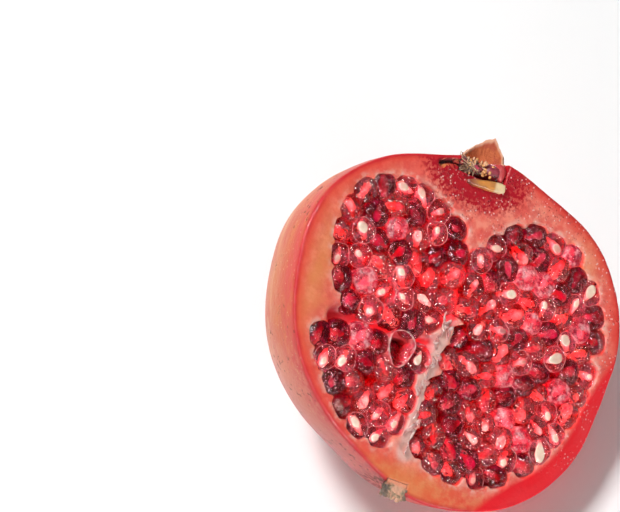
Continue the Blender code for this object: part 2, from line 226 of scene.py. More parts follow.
def over_table(points):
    """Points of the face's frame, in millimetres, as places over the table in metres."""
    matrix = np.array(placement())
    return np.asarray(points, float) * MM @ matrix[:3, :3].T + matrix[:3, 3]


def in_face(places):
    """Places over the table, in metres, as points of the face's frame in millimetres."""
    matrix = np.array(placement())
    return (places - matrix[:3, 3]) @ matrix[:3, :3] / MM


def write_masks(mesh, masks):
    """Stores a value for each of the mesh's points, under each mask's name."""
    for name, values in masks.items():
        layer = mesh.attributes.new(name, "FLOAT", "POINT")
        layer.data.foreach_set("value", np.asarray(values, np.float32))


def add_piece(name, points, faces, material, node, masks=None):
    """A piece from points in millimetres in the face's frame, riding on the fruit's one body."""
    mesh = bpy.data.meshes.new(name)
    mesh.from_pydata(over_table(points).tolist(), [], [list(map(int, f)) for f in faces])
    mesh.validate()
    mesh.shade_smooth()
    mesh.materials.append(material)
    write_masks(mesh, masks or {})
    piece = bpy.data.objects.new(name, mesh)
    bpy.context.scene.collection.objects.link(piece)
    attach(piece, "root")
    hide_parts(node)
    return piece


class Nodes:
    """Short ways to add the nodes of one material."""

    def __init__(self, name):
        self.material = bpy.data.materials.new(name)
        self.material.use_nodes = True
        self.tree = self.material.node_tree
        self.shader = self.tree.nodes["Principled BSDF"]
        self.output = self.tree.nodes["Material Output"]
        self.face_place = None

    def set(self, **values):
        for key, value in values.items():
            self.shader.inputs[key.replace("_", " ")].default_value = value

    def link(self, source, target):
        self.tree.links.new(source, target)

    def node(self, kind, **settings):
        made = self.tree.nodes.new(kind)
        for key, value in settings.items():
            setattr(made, key, value)
        return made

    def mask(self, name, amount=1.0):
        """What the mesh stores under that name, from 0 to 1, times the amount."""
        stored = self.node("ShaderNodeAttribute", attribute_name=name).outputs["Fac"]
        return stored if amount == 1.0 else self.times(stored, amount)

    def place(self, stretch=(1, 1, 1)):
        """The point's place in the face's frame in millimetres, times the stretch."""
        if self.face_place is None:
            back = self.node("ShaderNodeMapping", vector_type="TEXTURE")
            back.inputs["Location"].default_value = placement().translation
            back.inputs["Rotation"].default_value = placement().to_euler()
            back.inputs["Scale"].default_value = (MM, MM, MM)
            self.link(self.node("ShaderNodeTexCoord").outputs["Object"], back.inputs["Vector"])
            self.face_place = back.outputs["Vector"]
        if stretch == (1, 1, 1):
            return self.face_place
        mapping = self.node("ShaderNodeMapping")
        mapping.inputs["Scale"].default_value = stretch
        self.link(self.face_place, mapping.inputs["Vector"])
        return mapping.outputs["Vector"]

    def noise(self, size, detail=3.0, rough=0.55, stretch=(1, 1, 1)):
        """Noise whose bumps are about size millimetres across."""
        made = self.node("ShaderNodeTexNoise")
        made.inputs["Scale"].default_value = 1 / size
        made.inputs["Detail"].default_value = detail
        made.inputs["Roughness"].default_value = rough
        self.link(self.place(stretch), made.inputs["Vector"])
        return made.outputs["Fac"]

    def spots(self, size):
        """Distance to the nearest of scattered points that are about size millimetres apart."""
        made = self.node("ShaderNodeTexVoronoi")
        made.inputs["Scale"].default_value = 1 / size
        self.link(self.place(), made.inputs["Vector"])
        return made.outputs["Distance"]

    def range(self, value, low, high, to_low=0.0, to_high=1.0):
        """A soft step from one value to another while the input goes from low to high."""
        made = self.node("ShaderNodeMapRange", interpolation_type="SMOOTHSTEP")
        for key, number in (
            ("From Min", low), ("From Max", high), ("To Min", to_low), ("To Max", to_high),
        ):
            made.inputs[key].default_value = number
        self.link(value, made.inputs["Value"])
        return made.outputs["Result"]

    def math(self, operation, first, second):
        made = self.node("ShaderNodeMath", operation=operation)
        for socket, value in zip(made.inputs, (first, second)):
            if isinstance(value, (int, float)):
                socket.default_value = value
            else:
                self.link(value, socket)
        return made.outputs[0]

    def times(self, first, second):
        return self.math("MULTIPLY", first, second)

    def plus(self, first, second):
        return self.math("ADD", first, second)

    def mix(self, share, first, second):
        """Blends two colours, each a tuple or a socket."""
        made = self.node("ShaderNodeMix", data_type="RGBA")
        for socket, value in ((made.inputs[0], share), (made.inputs[6], first), (made.inputs[7], second)):
            if isinstance(value, tuple):
                socket.default_value = (*value, 1.0)
            elif isinstance(value, (int, float)):
                socket.default_value = value
            else:
                self.link(value, socket)
        return made.outputs[2]

    def coats(self, base, coats):
        """The base colour under coats of others, each given as its share and its colour."""
        for share, colour in coats:
            base = self.mix(share, base, colour)
        return base

    def ramp(self, value, stops):
        """Colours that blend from one stop to the next, each given as its place and its colour."""
        made = self.node("ShaderNodeValToRGB")
        elements = made.color_ramp.elements
        while len(elements) < len(stops):
            elements.new(0.5)
        for element, (place, colour) in zip(elements, stops):
            element.position = place
            element.color = (*colour, 1.0)
        self.link(value, made.inputs[0])
        return made.outputs["Color"]

    def colour(self, source):
        self.link(source, self.shader.inputs["Base Color"])

    def roughness(self, source):
        self.link(source, self.shader.inputs["Roughness"])

    def bump(self, height, depth):
        """Bump from a height of 0 to 1 that stands for that depth in millimetres."""
        made = self.node("ShaderNodeBump")
        made.inputs["Distance"].default_value = depth * MM
        self.link(height, made.inputs["Height"])
        self.link(made.outputs["Normal"], self.shader.inputs["Normal"])


# The arils: where they sit and how each one is shaped


def packed_points(loop, spacing, inset, draw):
    """Points spread evenly inside the loop: random ones that push each other apart."""
    width = loop.max(0) - loop.min(0)
    edge_length = np.hypot(*(np.roll(loop, -1, axis=0) - loop).T).sum()
    room = loop_area(loop) - edge_length * (inset - spacing / 2)
    count = int(room / (spacing**2 * math.sqrt(3) / 2))
    points = loop.min(0) + draw.random((count * 4, 2)) * width
    points = points[loop_distance(points, loop)[0] > inset][:count]
    while len(points) < count:
        more = loop.min(0) + draw.random((count, 2)) * width
        more = more[loop_distance(more, loop)[0] > inset]
        points = np.concatenate([points, more])[:count]
    for _ in range(RELAX_ROUNDS):
        apart = points[:, None] - points[None]
        dist = np.hypot(apart[..., 0], apart[..., 1]) + np.eye(count) * 1e9
        push = np.clip(spacing * ARIL_CROWDING - dist, 0, None) / dist
        points = points + RELAX_SHARE * (apart * push[..., None]).sum(1)
        depth, inwards = loop_distance(points, loop)
        points = points + inwards * np.clip(inset - depth, 0, None)[:, None]
    return points


def aril_places(chamber, draw, centre_z, spacing=ARIL_SPACING):
    """Centres, long axes, half widths and half lengths of one layer of arils in a chamber."""
    loop = smooth_loop(CHAMBERS[chamber], SPLINE_STEPS)
    rows = []
    for x, y in packed_points(loop, spacing, ARIL_INSET, draw):
        half_width = draw.uniform(*ARIL_HALF_WIDTH)
        half_length = half_width * draw.uniform(*ARIL_STRETCH)
        tilt = math.radians(draw.uniform(*ARIL_TILT_DEG))
        outwards = math.atan2(y - ROOT_POINT[1], x - ROOT_POINT[0])
        heading = outwards + draw.normal(0, ARIL_HEADING_SPREAD)
        z = draw.uniform(*centre_z)
        axis = (
            math.sin(tilt) * math.cos(heading),
            math.sin(tilt) * math.sin(heading),
            math.cos(tilt),
        )
        rows.append((x, y, z, *axis, half_width, half_length))
    return np.array(rows)


# The septa that the arils hide: they stand lower, and arils press on each other over them
HIDDEN_SEPTA = (
    ((0.4, 19.0), (-1.5, 9.0), (-3.0, 3.0)),
    ((-33.0, -7.0), (-24.0, -5.8), (-12.0, -5.6), (-7.0, -5.0)),
)
SEPTUM_DROP = 2.4

# The empty cell: a torn aril's thin skin, standing as a small cup where two chambers meet
CELL_CENTRE = (-14.0, -8.6)
CELL_RADII = (3.3, 4.2)
CELL_FOOT_Z = -5.5

POCKET_REACH = 3.75
POCKET_MARGIN = 0.6
WALL_DROP = 0.8


def hidden_septum_distance(points):
    return np.min([line_distance(points, line) for line in HIDDEN_SEPTA], axis=0)


def top_arils(chamber):
    """The arils that show on the cut; those by the outer walls sit a little deeper."""
    rows = aril_places(chamber, np.random.default_rng(SEEDS[chamber]), ARIL_CENTRE_Z)
    inside = loop_distance(rows[:, :2], smooth_loop(CHAMBERS[chamber], SPLINE_STEPS))[0]
    by_wall = (1 - soft_step(inside, 2.7, 4.6)) * (hidden_septum_distance(rows[:, :2]) > 4.6)
    rows[:, 2] -= WALL_DROP * by_wall
    off = (rows[:, :2] - CELL_CENTRE) / CELL_RADII
    return rows[np.hypot(off[:, 0], off[:, 1]) > 1.0]


def pocket_loop(chamber, count):
    """The chamber's edge on the cut: round bites where its outermost arils press into the pith."""
    loop = smooth_loop(CHAMBERS[chamber], SPLINE_STEPS)
    rows = aril_places(chamber, np.random.default_rng(SEEDS[chamber]), ARIL_CENTRE_Z)
    eye = loop.mean(0)
    centres = rows[:, :2] - eye
    points = []
    for angle in np.linspace(0, 2 * math.pi, 900, endpoint=False):
        ray = np.array([math.cos(angle), math.sin(angle)])
        along = centres @ ray
        off = (centres**2).sum(1) - along**2
        hits = off < POCKET_REACH**2
        reach = (along[hits] + np.sqrt(POCKET_REACH**2 - off[hits])).max()
        points.append(eye + ray * reach)
    points = np.array(points)
    inside, inwards = loop_distance(points, loop)
    points = points + inwards * np.clip(-POCKET_MARGIN - inside, 0, None)[:, None]
    return even_loop(points, count)


def ball(subdivisions):
    """Directions and triangles of an even ball."""
    bm = bmesh.new()
    bmesh.ops.create_icosphere(bm, subdivisions=subdivisions, radius=1.0)
    ways = np.array([vert.co.normalized() for vert in bm.verts])
    faces = np.array([[vert.index for vert in face.verts] for face in bm.faces])
    bm.free()
    return ways, faces


# The layer of arils below those on the cut
DEEP_CENTRE_Z = (-9.0, -7.4)
DEEP_SPACING = 6.2

SQUEEZE_POWER = 16.0
ARIL_SWELL = 1.3
ARIL_GAP = -0.04
KNIFE_LEVEL = (0.1, 1.1)
NEIGHBOUR_REACH = 10.0
SEPTUM_REACH = 5.0
CELL_REACH = 3.5
OVERHANG_REACH = 4.4
WALL_GAP = 0.2
MASS_GAP = 0.15
MASS_EDGE_GAP = 1.8
MASS_KNOBS = 0.6


class Kernel:
    """The shape of one aril: an egg that its neighbours and its chamber's wall press flat."""

    def __init__(self, row, neighbours, wall, reach):
        self.centre = row[:3]
        self.axis = row[3:6]
        self.half_width = row[6]
        self.half_length = row[7]
        self.reach = reach
        ways, heights = [], []
        for other in neighbours:
            apart = other[:3] - self.centre
            far = np.linalg.norm(apart)
            ways.append(apart / far)
            heights.append(far * self.half_width / (self.half_width + other[6]) - ARIL_GAP)
        for way, height in wall:
            ways.append(way)
            heights.append(height)
        self.ways = np.array(ways).reshape(-1, 3)
        self.heights = np.maximum(np.array(heights), 1.2)

    def fullness(self, offsets):
        """How near offsets from the centre are to the surface: 1 on it, less inside."""
        along = offsets @ self.axis
        across = np.sqrt(np.maximum((offsets**2).sum(1) - along**2, 0))
        egg = np.hypot(
            along / (self.half_length * ARIL_SWELL), across / (self.half_width * ARIL_SWELL)
        )
        level = np.hypot(offsets[:, 0], offsets[:, 1]) / self.reach
        total = egg**SQUEEZE_POWER + level**SQUEEZE_POWER
        if len(self.ways):
            pressed = np.clip(offsets @ self.ways.T, 0, None) / self.heights
            total = total + (pressed**SQUEEZE_POWER).sum(1)
        return total ** (1 / SQUEEZE_POWER)

    def surface(self, ways):
        return ways / self.fullness(ways)[:, None]

    def outline(self, level, count):
        """The kernel's edge at a level over its centre, as points of offsets."""
        turns = np.arange(count) * 2 * math.pi / count
        rays = np.column_stack([np.cos(turns), np.sin(turns), np.zeros(count)])
        near, far = np.zeros(count), np.full(count, 6.0)
        for _ in range(20):
            middle = (near + far) / 2
            full = self.fullness(rays * middle[:, None] + (0, 0, level))
            near, far = np.where(full < 1, middle, near), np.where(full < 1, far, middle)
        return rays * near[:, None] + (0, 0, level)


def all_kernels():
    """Every aril as a kernel, as (chamber, is on top, kernel)."""
    rows, chambers, on_top = [], [], []
    for chamber in CHAMBERS:
        top = top_arils(chamber)
        deep_draw = np.random.default_rng(SEEDS[chamber] + 100)
        deep = aril_places(chamber, deep_draw, DEEP_CENTRE_Z, DEEP_SPACING)
        for layer, is_top in ((top, True), (deep, False)):
            rows.append(layer)
            chambers += [chamber] * len(layer)
            on_top += [is_top] * len(layer)
    rows = np.concatenate(rows)
    septum = hidden_septum_distance(rows[:, :2])
    knife = np.random.default_rng(52)
    made = []
    for i, row in enumerate(rows):
        apart = np.linalg.norm(rows[:, :3] - row[:3], axis=1)
        near = rows[(apart < NEIGHBOUR_REACH) & (apart > 1e-6)]
        loop = smooth_loop(CHAMBERS[chambers[i]], SPLINE_STEPS)
        inside, inwards = loop_distance(row[None, :2], loop)
        overhangs = on_top[i] and septum[i] < SEPTUM_REACH
        wall = []
        if not overhangs:
            wall.append((np.append(-inwards[0], 0.0), inside[0] + POCKET_MARGIN - WALL_GAP))
        if on_top[i]:
            wall.append((np.array([0.0, 0.0, 1.0]), knife.uniform(*KNIFE_LEVEL) - row[2]))
        reach = OVERHANG_REACH if overhangs else CELL_REACH
        made.append((chambers[i], on_top[i], Kernel(row, near, wall, reach)))
    return made


def aril_mass(chamber):
    """The arils that fill the chamber below those that show, as one knobbly body."""
    loop = pocket_loop(chamber, 220)
    inwards = inward_ways(loop)
    shell = Shell()
    floor = -CHAMBER_DEPTH + MASS_GAP
    top = narrowed(loop, MASS_TOP_Z) + inwards * MASS_EDGE_GAP
    rim = last = shell.add(at_level(top, MASS_TOP_Z))
    for z in (*CHAMBER_LEVELS, floor):
        flat = narrowed(loop, z) + inwards * MASS_GAP
        last = shell.extend(last, at_level(flat, z))
    for ring, flat, z, is_top in ((rim, top, MASS_TOP_Z, True), (last, flat, floor, False)):
        middle = flat.mean(0)
        for share in (0.8, 0.6, 0.4, 0.2):
            spread = middle + (flat - middle) * share
            knobs = MASS_KNOBS * ripple(spread, 6.0, 13) if is_top else 0.0
            ring = shell.extend(ring, at_level(spread, z + knobs), flip=is_top)
        shell.fan(ring[::-1] if is_top else ring, (*middle, z))
    return np.array(shell.points), shell.faces


# Kinds of aril on the cut, with their shares: whole ones, clear or cloudy, and ones the knife opened
KIND_SHARES = {"clear": 0.32, "flesh": 0.28, "cut": 0.28, "cloudy": 0.12}
# Each kind's gel: density, flesh colour, clouding from least to most, colour of the clouds
GELS = {
    "clear": (850.0, (0.92, 0.50, 0.56), (0.0, 0.35), (0.66, 0.02, 0.07)),
    "flesh": (600.0, (0.26, 0.0, 0.016), (0.15, 0.55), (0.36, 0.004, 0.035)),
    "cut": (700.0, (0.93, 0.36, 0.44), (0.02, 0.45), (0.76, 0.09, 0.16)),
    "cloudy": (280.0, (0.74, 0.05, 0.12), (0.35, 0.98), (0.86, 0.38, 0.40)),
    "deep": (300.0, (0.15, 0.0, 0.008), (0.80, 0.95), (0.34, 0.001, 0.02)),
}


# How far a seed is lifted towards the cut, how large it is, how red, and how deep the knife went in
SEED_LIFT = (0.2, 2.2)
SEED_SIZE = (0.85, 1.3)
SEED_TONE = (-0.45, 0.95)
CUT_INTO_SEED = (0.1, 0.6)
CUT_SKIN_RADIUS = 0.08
DEEP_SEED_SHARE = 0.6


def seed_offsets(kernel, ways, lift, size):
    """The seed inside a kernel: a smaller egg, narrower at its root end, lifted towards the cut."""
    axis = kernel.axis * (1, 1, 0.35)
    axis = axis / np.linalg.norm(axis)
    along = ways @ axis
    half_length, half_width = 0.62 * kernel.half_length * size, 0.33 * kernel.half_width * size
    across = np.sqrt(np.maximum(1 - along**2, 0))
    reach = 1 / np.hypot(along / half_length, across / half_width)
    offsets = ways * reach[:, None]
    radial = offsets - np.outer(offsets @ axis, axis)
    offsets = offsets + radial * (0.3 * along - 0.08)[:, None]
    offsets = offsets * (1 + 0.05 * ripple(offsets + kernel.centre, 1.5, 9))[:, None]
    offsets = offsets + np.array([0, 0, lift])
    full = kernel.fullness(offsets)
    return offsets * np.minimum(1, 0.93 / np.maximum(full, 1e-6))[:, None]


def place_in(draw, *ranges):
    """A random place, each of its numbers from its own range."""
    return np.array([draw.uniform(low, high) for low, high in ranges])


def joined(parts):
    """One list of points and one of faces from several, with the values of their points."""
    points, faces, values, start = [], [], [], 0
    for some_points, some_faces, value in parts:
        points.append(some_points)
        faces += [[start + corner for corner in face] for face in some_faces]
        values.append(np.broadcast_to(value, len(some_points)))
        start += len(some_points)
    return np.concatenate(points), faces, np.concatenate(values)


def lump(ways, size, place, uneven, scale, seed):
    """A rounded lump at a place, its surface uneven by that share of its size."""
    points = ways * size
    return points * (1 + uneven * ripple(points + place, scale, seed))[:, None] + place


def tube(path, radii, sides=6, closed=False):
    """A round strand along a path of points; the radii are one number or one for each point."""
    path = np.asarray(path, float)
    count = len(path)
    radii = np.broadcast_to(radii, count)
    if closed:
        way = np.roll(path, -1, axis=0) - np.roll(path, 1, axis=0)
    else:
        way = np.gradient(path, axis=0)
    way = way / np.maximum(np.linalg.norm(way, axis=1), 1e-9)[:, None]
    side = np.cross(way[0], (0.31, 0.22, 0.93))
    points = []
    for k in range(count):
        side = side - way[k] * (side @ way[k])
        side = side / np.linalg.norm(side)
        other = np.cross(way[k], side)
        for i in range(sides):
            turn = 2 * math.pi * i / sides
            points.append(path[k] + radii[k] * (side * math.cos(turn) + other * math.sin(turn)))
    faces = []
    for k in range(count if closed else count - 1):
        low, high = k * sides, (k + 1) % count * sides
        for i in range(sides):
            j = (i + 1) % sides
            faces.append((low + i, low + j, high + j, high + i))
    if not closed:
        faces.append(tuple(range(sides))[::-1])
        faces.append(tuple(range((count - 1) * sides, count * sides)))
    return np.array(points), faces


def thick_sheet(grid, thickness, wrap=False):
    """A closed thin solid round a grid of points; wrap joins the grid's first and last rows."""
    rows, columns = grid.shape[:2]
    if wrap:
        down = np.roll(grid, -1, axis=0) - np.roll(grid, 1, axis=0)
    else:
        down = np.gradient(grid, axis=0)
    normal = np.cross(down, np.gradient(grid, axis=1))
    normal /= np.maximum(np.linalg.norm(normal, axis=2), 1e-9)[..., None]
    half = np.broadcast_to(np.asarray(thickness, float), (rows, columns))[..., None] / 2
    points = np.concatenate([(grid + normal * half).reshape(-1, 3), (grid - normal * half).reshape(-1, 3)])
    back = rows * columns

    def at(i, j):
        return i % rows * columns + j

    faces = []
    for i in range(rows if wrap else rows - 1):
        for j in range(columns - 1):
            a, b, c, d = at(i, j), at(i + 1, j), at(i + 1, j + 1), at(i, j + 1)
            faces += [(a, b, c, d), (back + d, back + c, back + b, back + a)]
        for j in (0, columns - 1):
            a, b = at(i, j), at(i + 1, j)
            faces.append((b, a, back + a, back + b) if j == 0 else (a, b, back + b, back + a))
    if not wrap:
        for i in (0, rows - 1):
            for j in range(columns - 1):
                a, b = at(i, j), at(i, j + 1)
                faces.append((a, b, back + b, back + a) if i == 0 else (b, a, back + a, back + b))
    return points, faces


def lets_lamps_through(gel, tint):
    """Lets the lamps' light reach what lies in clear flesh."""
    path = gel.node("ShaderNodeLightPath")
    clear = gel.node("ShaderNodeBsdfTransparent")
    clear.inputs["Color"].default_value = (*tint, 1.0)
    blend = gel.node("ShaderNodeMixShader")
    gel.link(path.outputs["Is Shadow Ray"], blend.inputs[0])
    gel.link(gel.shader.outputs[0], blend.inputs[1])
    gel.link(clear.outputs[0], blend.inputs[2])
    gel.link(blend.outputs[0], gel.output.inputs["Surface"])


def gel_material(name, colour, density, flesh, cloud, cloud_colour):
    """Wet aril flesh: clear, redder with depth, with cloudy threads and a glinting uneven skin."""
    gel = Nodes(name)
    gel.set(Roughness=0.05, IOR=1.34, Coat_Weight=0.15, Coat_Roughness=0.03, Coat_IOR=1.5)
    haze = gel.range(gel.noise(2.2, 5.0, 0.62), 0.42, 0.68)
    weight = gel.node("ShaderNodeMapRange")
    weight.inputs["To Min"].default_value = 1 - cloud[0]
    weight.inputs["To Max"].default_value = 1 - cloud[1]
    gel.link(haze, weight.inputs["Value"])
    gel.link(weight.outputs["Result"], gel.shader.inputs["Transmission Weight"])
    gel.colour(gel.mix(haze, flesh, cloud_colour))
    absorption = gel.node("ShaderNodeVolumeAbsorption")
    absorption.inputs["Color"].default_value = (*colour, 1.0)
    absorption.inputs["Density"].default_value = density
    gel.link(absorption.outputs[0], gel.output.inputs["Volume"])
    lets_lamps_through(gel, (1.0, 0.84, 0.86))
    torn = gel.range(gel.noise(3.0, 2.0), 0.42, 0.58, 0.25, 1.0)
    dimples = gel.range(gel.spots(0.75), 0.0, 0.6)
    rough = gel.plus(gel.times(dimples, 0.8), gel.noise(1.0, 2.0, 0.5))
    gel.bump(gel.times(rough, torn), 0.50)
    return gel.material


def seed_material(looks):
    seed = Nodes("seed")
    seed.set(
        Roughness=0.35, Subsurface_Weight=0.2, Subsurface_Radius=(0.001, 0.0005, 0.0004),
        Coat_Weight=0.3,
    )
    cream, red = tuple(looks.seed_cream), tuple(looks.seed_red)
    tone = seed.ramp(seed.mask("tone"), (
        (0.0, cream), (0.35, (0.86, 0.50, 0.40)), (0.62, (0.46, 0.07, 0.10)), (1.0, red),
    ))
    grain = seed.range(seed.noise(1.2, 3.0), 0.38, 0.72)
    seed.colour(seed.mix(seed.times(grain, 0.25), tone, (0.70, 0.22, 0.14)))
    seed.bump(seed.noise(0.6), 0.05)
    return seed.material


def tissue_material(name, dark, pale, clear):
    """Thin wet skins and scraps: milky, and paler where they are thick."""
    tissue = Nodes(name)
    tissue.set(
        Roughness=0.22, IOR=1.4, Transmission_Weight=clear, Subsurface_Weight=0.15,
        Subsurface_Radius=(0.001, 0.0006, 0.0005), Coat_Weight=0.5, Coat_Roughness=0.06,
    )
    cloud = tissue.range(tissue.noise(1.6, 4.0), 0.35, 0.7)
    tissue.colour(tissue.mix(cloud, dark, pale))
    lets_lamps_through(tissue, (0.75 * clear, 0.5 * clear, 0.5 * clear))
    tissue.bump(tissue.noise(0.5, 3.0), 0.08)
    return tissue.material


# The rind's one closed skin


class Shell:
    """Points and faces of one mesh, put together from rings."""

    def __init__(self):
        self.points = []
        self.faces = []

    def add(self, points):
        first = len(self.points)
        self.points.extend(np.asarray(points, float).tolist())
        return np.arange(first, len(self.points))

    def bridge(self, low, high):
        for a, b, c, d in zip(low, np.roll(low, -1), np.roll(high, -1), high):
            self.faces.append((a, b, c, d))

    def extend(self, last, points, flip=False):
        """Adds a ring of points, joined to the last ring; flip turns the faces over."""
        made = self.add(points)
        self.bridge(*((made, last) if flip else (last, made)))
        return made

    def fan(self, ring, centre):
        """Closes a ring with triangles to a centre point."""
        tip = self.add([centre])[0]
        for a, b in zip(ring, np.roll(ring, -1)):
            self.faces.append((a, b, tip))


def lofted(rings):
    """Points and faces of a closed solid through rings of points, with a fan over each end."""
    shell = Shell()
    made = [shell.add(ring) for ring in rings]
    for low, high in zip(made, made[1:]):
        shell.bridge(low, high)
    shell.fan(made[0][::-1], rings[0].mean(0))
    shell.fan(made[-1], rings[-1].mean(0))
    return np.array(shell.points), shell.faces


FACE_RINGS = 320
RIM_ROUND = ((0.8, 0.0), (0.45, -0.07), (0.2, -0.22), (0.06, -0.45), (0.0, -0.8))
RIM_INSETS = (1.4, 2.2)
LIP_STEPS = {"upper_left": 300, "lower_left": 240, "right": 440}
LIP_PROFILE = (
    (0.1, -0.05), (0.19, -0.18), (0.25, -0.42), (0.28, -0.9), (0.32, -1.8), (0.45, -3.6),
    (0.8, -6.0), (1.6, -8.4),
)
CHAMBER_DEPTH = 30.0
INNER_DEPTH = 39.0
CHAMBER_LEVELS = (-12.0, -16.0, -20.0, -24.0, -27.0)
MASS_TOP_Z = -11.0
GRID_STEP = 0.95
BACK_RINGS = 56
SINK_MIDDLE_DEG = -27.0
SINK_WIDTH_DEG = 46.0
SINK_BAND = 9.5
SINK_DEPTH = 2.6
CREVICE = ((-17.0, 38.6), (-14.5, 39.8), (-11.5, 40.6))
CREVICE_DEPTH = 1.6


def rim_inset(points):
    """How far inside the rim points lie, seen along z."""
    angle = np.arctan2(points[:, 1], points[:, 0])
    return rim_radius(angle) - np.hypot(points[:, 0], points[:, 1])


def pocket_gap(points):
    """Distance across the cut from points to the nearest chamber's edge, negative inside it."""
    loops = [pocket_loop(chamber, 160) for chamber in CHAMBERS]
    return np.min([-loop_distance(points[:, :2], loop)[0] for loop in loops], axis=0)


def rim_sink(points):
    """How far the face curls down at points of it, from 0 to 1 at the rim's lower right."""
    angle = np.degrees(np.arctan2(points[:, 1], points[:, 0]))
    near = 1 - soft_step(np.abs(angle - SINK_MIDDLE_DEG), 0.35 * SINK_WIDTH_DEG, SINK_WIDTH_DEG)
    band = SINK_BAND * (0.35 + 0.65 * near)
    return near * (1 - np.clip(rim_inset(points) / band, 0, 1)) ** 1.6


def face_height(points):
    """The pith's gently uneven level at points of the cut, lower where arils hide a septum."""
    hidden = 1 - soft_step(hidden_septum_distance(points), 1.4, 3.4)
    crevice = 1 - soft_step(line_distance(points, CREVICE), 0.25, 0.8)
    level = 0.16 * ripple(points, 11.0, 3) + 0.05 * ripple(points, 2.4, 4)
    return level - SINK_DEPTH * rim_sink(points) - SEPTUM_DROP * hidden - CREVICE_DEPTH * crevice


def rim_ring(inset, angles):
    radius = rim_radius(angles) - inset
    return np.stack([radius * np.cos(angles), radius * np.sin(angles)], axis=1)


def face_sheet(shell, pockets):
    """Fills the cut between the rim and the pockets with even triangles; returns the edges' rings."""
    angles = np.arange(FACE_RINGS) * 2 * math.pi / FACE_RINGS
    rings = [rim_ring(inset, angles) for inset in (RIM_ROUND[0][0], *RIM_INSETS)]
    loops = [rings[0], *pockets]
    reach = max(RIM_RADII)
    steps = np.arange(-reach, reach, GRID_STEP)
    grid = np.stack(np.meshgrid(steps, steps), axis=-1).reshape(-1, 2)
    grid[:, 0] += np.where(np.round(grid[:, 1] / GRID_STEP) % 2 == 0, GRID_STEP / 2, 0)
    draw = np.random.default_rng(71)
    grid = grid + draw.uniform(-0.16, 0.16, grid.shape)
    keep = loop_distance(grid, rings[-1])[0] > 0.5 * GRID_STEP
    for pocket in pockets:
        keep &= loop_distance(grid, pocket)[0] < -0.45
    flat = [Vector(point) for loop in loops for point in loop]
    edges, start = [], 0
    for loop in loops:
        count = len(loop)
        edges += [(start + i, start + (i + 1) % count) for i in range(count)]
        start += count
    ring_points = []
    for ring in rings[1:]:
        clear = np.ones(len(ring), bool)
        for pocket in pockets:
            clear &= loop_distance(ring, pocket)[0] < -0.3
        ring_points.append(ring[clear])
    flat += [Vector(point) for point in np.concatenate([*ring_points, grid[keep]])]
    made, _, faces, origin, _, _ = delaunay_2d_cdt(flat, edges, [], 1, 1e-6)
    points = np.array([tuple(point) for point in made])
    order = np.full(len(flat), -1)
    for i, sources in enumerate(origin):
        for source in sources:
            order[source] = i
    faces = np.array([face for face in faces if len(face) == 3])
    middles = points[faces].mean(1)
    keep_face = np.ones(len(faces), bool)
    for pocket in pockets:
        keep_face &= loop_distance(middles, pocket)[0] < 0
    added = shell.add(at_level(points, face_height(points)))
    for a, b, c in faces[keep_face]:
        shell.faces.append((added[a], added[b], added[c]))
    found, start = [], 0
    for loop in loops:
        found.append(added[order[start:start + len(loop)]])
        start += len(loop)
    return found


def narrowed(loop, z):
    """A chamber's outline at a depth, where the rounded back has drawn in."""
    return loop * (1 - abs(z / INNER_DEPTH) ** BLOCKINESS) ** (1 / BLOCKINESS)


def pocket_walls(shell, edge, loop):
    """The chamber's wall from its rounded lip down, and its floor."""
    inwards = inward_ways(loop)
    top = face_height(loop)
    last = edge
    for inset, z in LIP_PROFILE:
        last = shell.extend(last, at_level(loop + inwards * inset, top + z))
    floor = -CHAMBER_DEPTH
    for z in (*CHAMBER_LEVELS, floor):
        flat = narrowed(loop, z)
        last = shell.extend(last, at_level(flat, z))
    middle = flat.mean(0)
    for share in (0.7, 0.35):
        last = shell.extend(last, at_level(middle + (flat - middle) * share, floor))
    shell.fan(last, (*middle, floor))


def settle(points):
    """Presses points in the face's frame that reach under the table flat, with a soft edge."""
    places = over_table(points)
    soft = 0.7 * MM
    z = places[:, 2]
    places[:, 2] = np.where(z > soft, z, np.where(z < -soft, 0.0, (z + soft) ** 2 / (4 * soft)))
    return in_face(places)


def rind_shell():
    shell = Shell()
    loops = {chamber: pocket_loop(chamber, LIP_STEPS[chamber]) for chamber in CHAMBERS}
    rim, *edges = face_sheet(shell, list(loops.values()))
    for (chamber, loop), edge in zip(loops.items(), edges):
        pocket_walls(shell, edge, loop)
    angles = np.arange(FACE_RINGS) * 2 * math.pi / FACE_RINGS
    last = rim
    sunk = face_height(rim_ring(RIM_ROUND[0][0], angles))
    for inset, z in RIM_ROUND[1:]:
        last = shell.extend(last, at_level(rim_ring(inset, angles), sunk + z), flip=True)
    start = RIM_ROUND[-1][1]
    power = 2 / BLOCKINESS
    for k in range(1, BACK_RINGS):
        latitude = math.pi / 2 * k / BACK_RINGS
        out, down = math.cos(latitude) ** power, math.sin(latitude) ** power
        level = -BACK_DEPTH * down
        ease = (sunk + start) * max(0.0, 1 - k / 6)
        points = at_level(rim_ring(0.0, angles) * out, np.minimum(level, ease + level * 0.6))
        outwards = points / np.linalg.norm(points, axis=1)[:, None]
        swell = (0.10 * ripple(points, 16.0, 8) - 0.06) * min(1, k / 4)
        last = shell.extend(last, settle(points + outwards * swell[:, None]), flip=True)
    tip = shell.add(settle(np.array([[0.0, 0.0, -BACK_DEPTH]])))[0]
    for a, b in zip(last, np.roll(last, -1)):
        shell.faces.append((b, a, tip))
    return shell


# Colours of the pith by zone, and the skin


SEPTUM_LINE = ((-3.4, 3), (-3.6, -2), (-4.2, -8), (-4.7, -13), (-4.2, -20), (-4.4, -26), (-4.8, -32))
OCHRE_SPOTS = ((31.0, 24.0, 5.0, 9.0), (-3.0, -38.5, 11.0, 3.5), (-41.5, 2.0, 3.0, 14.0))


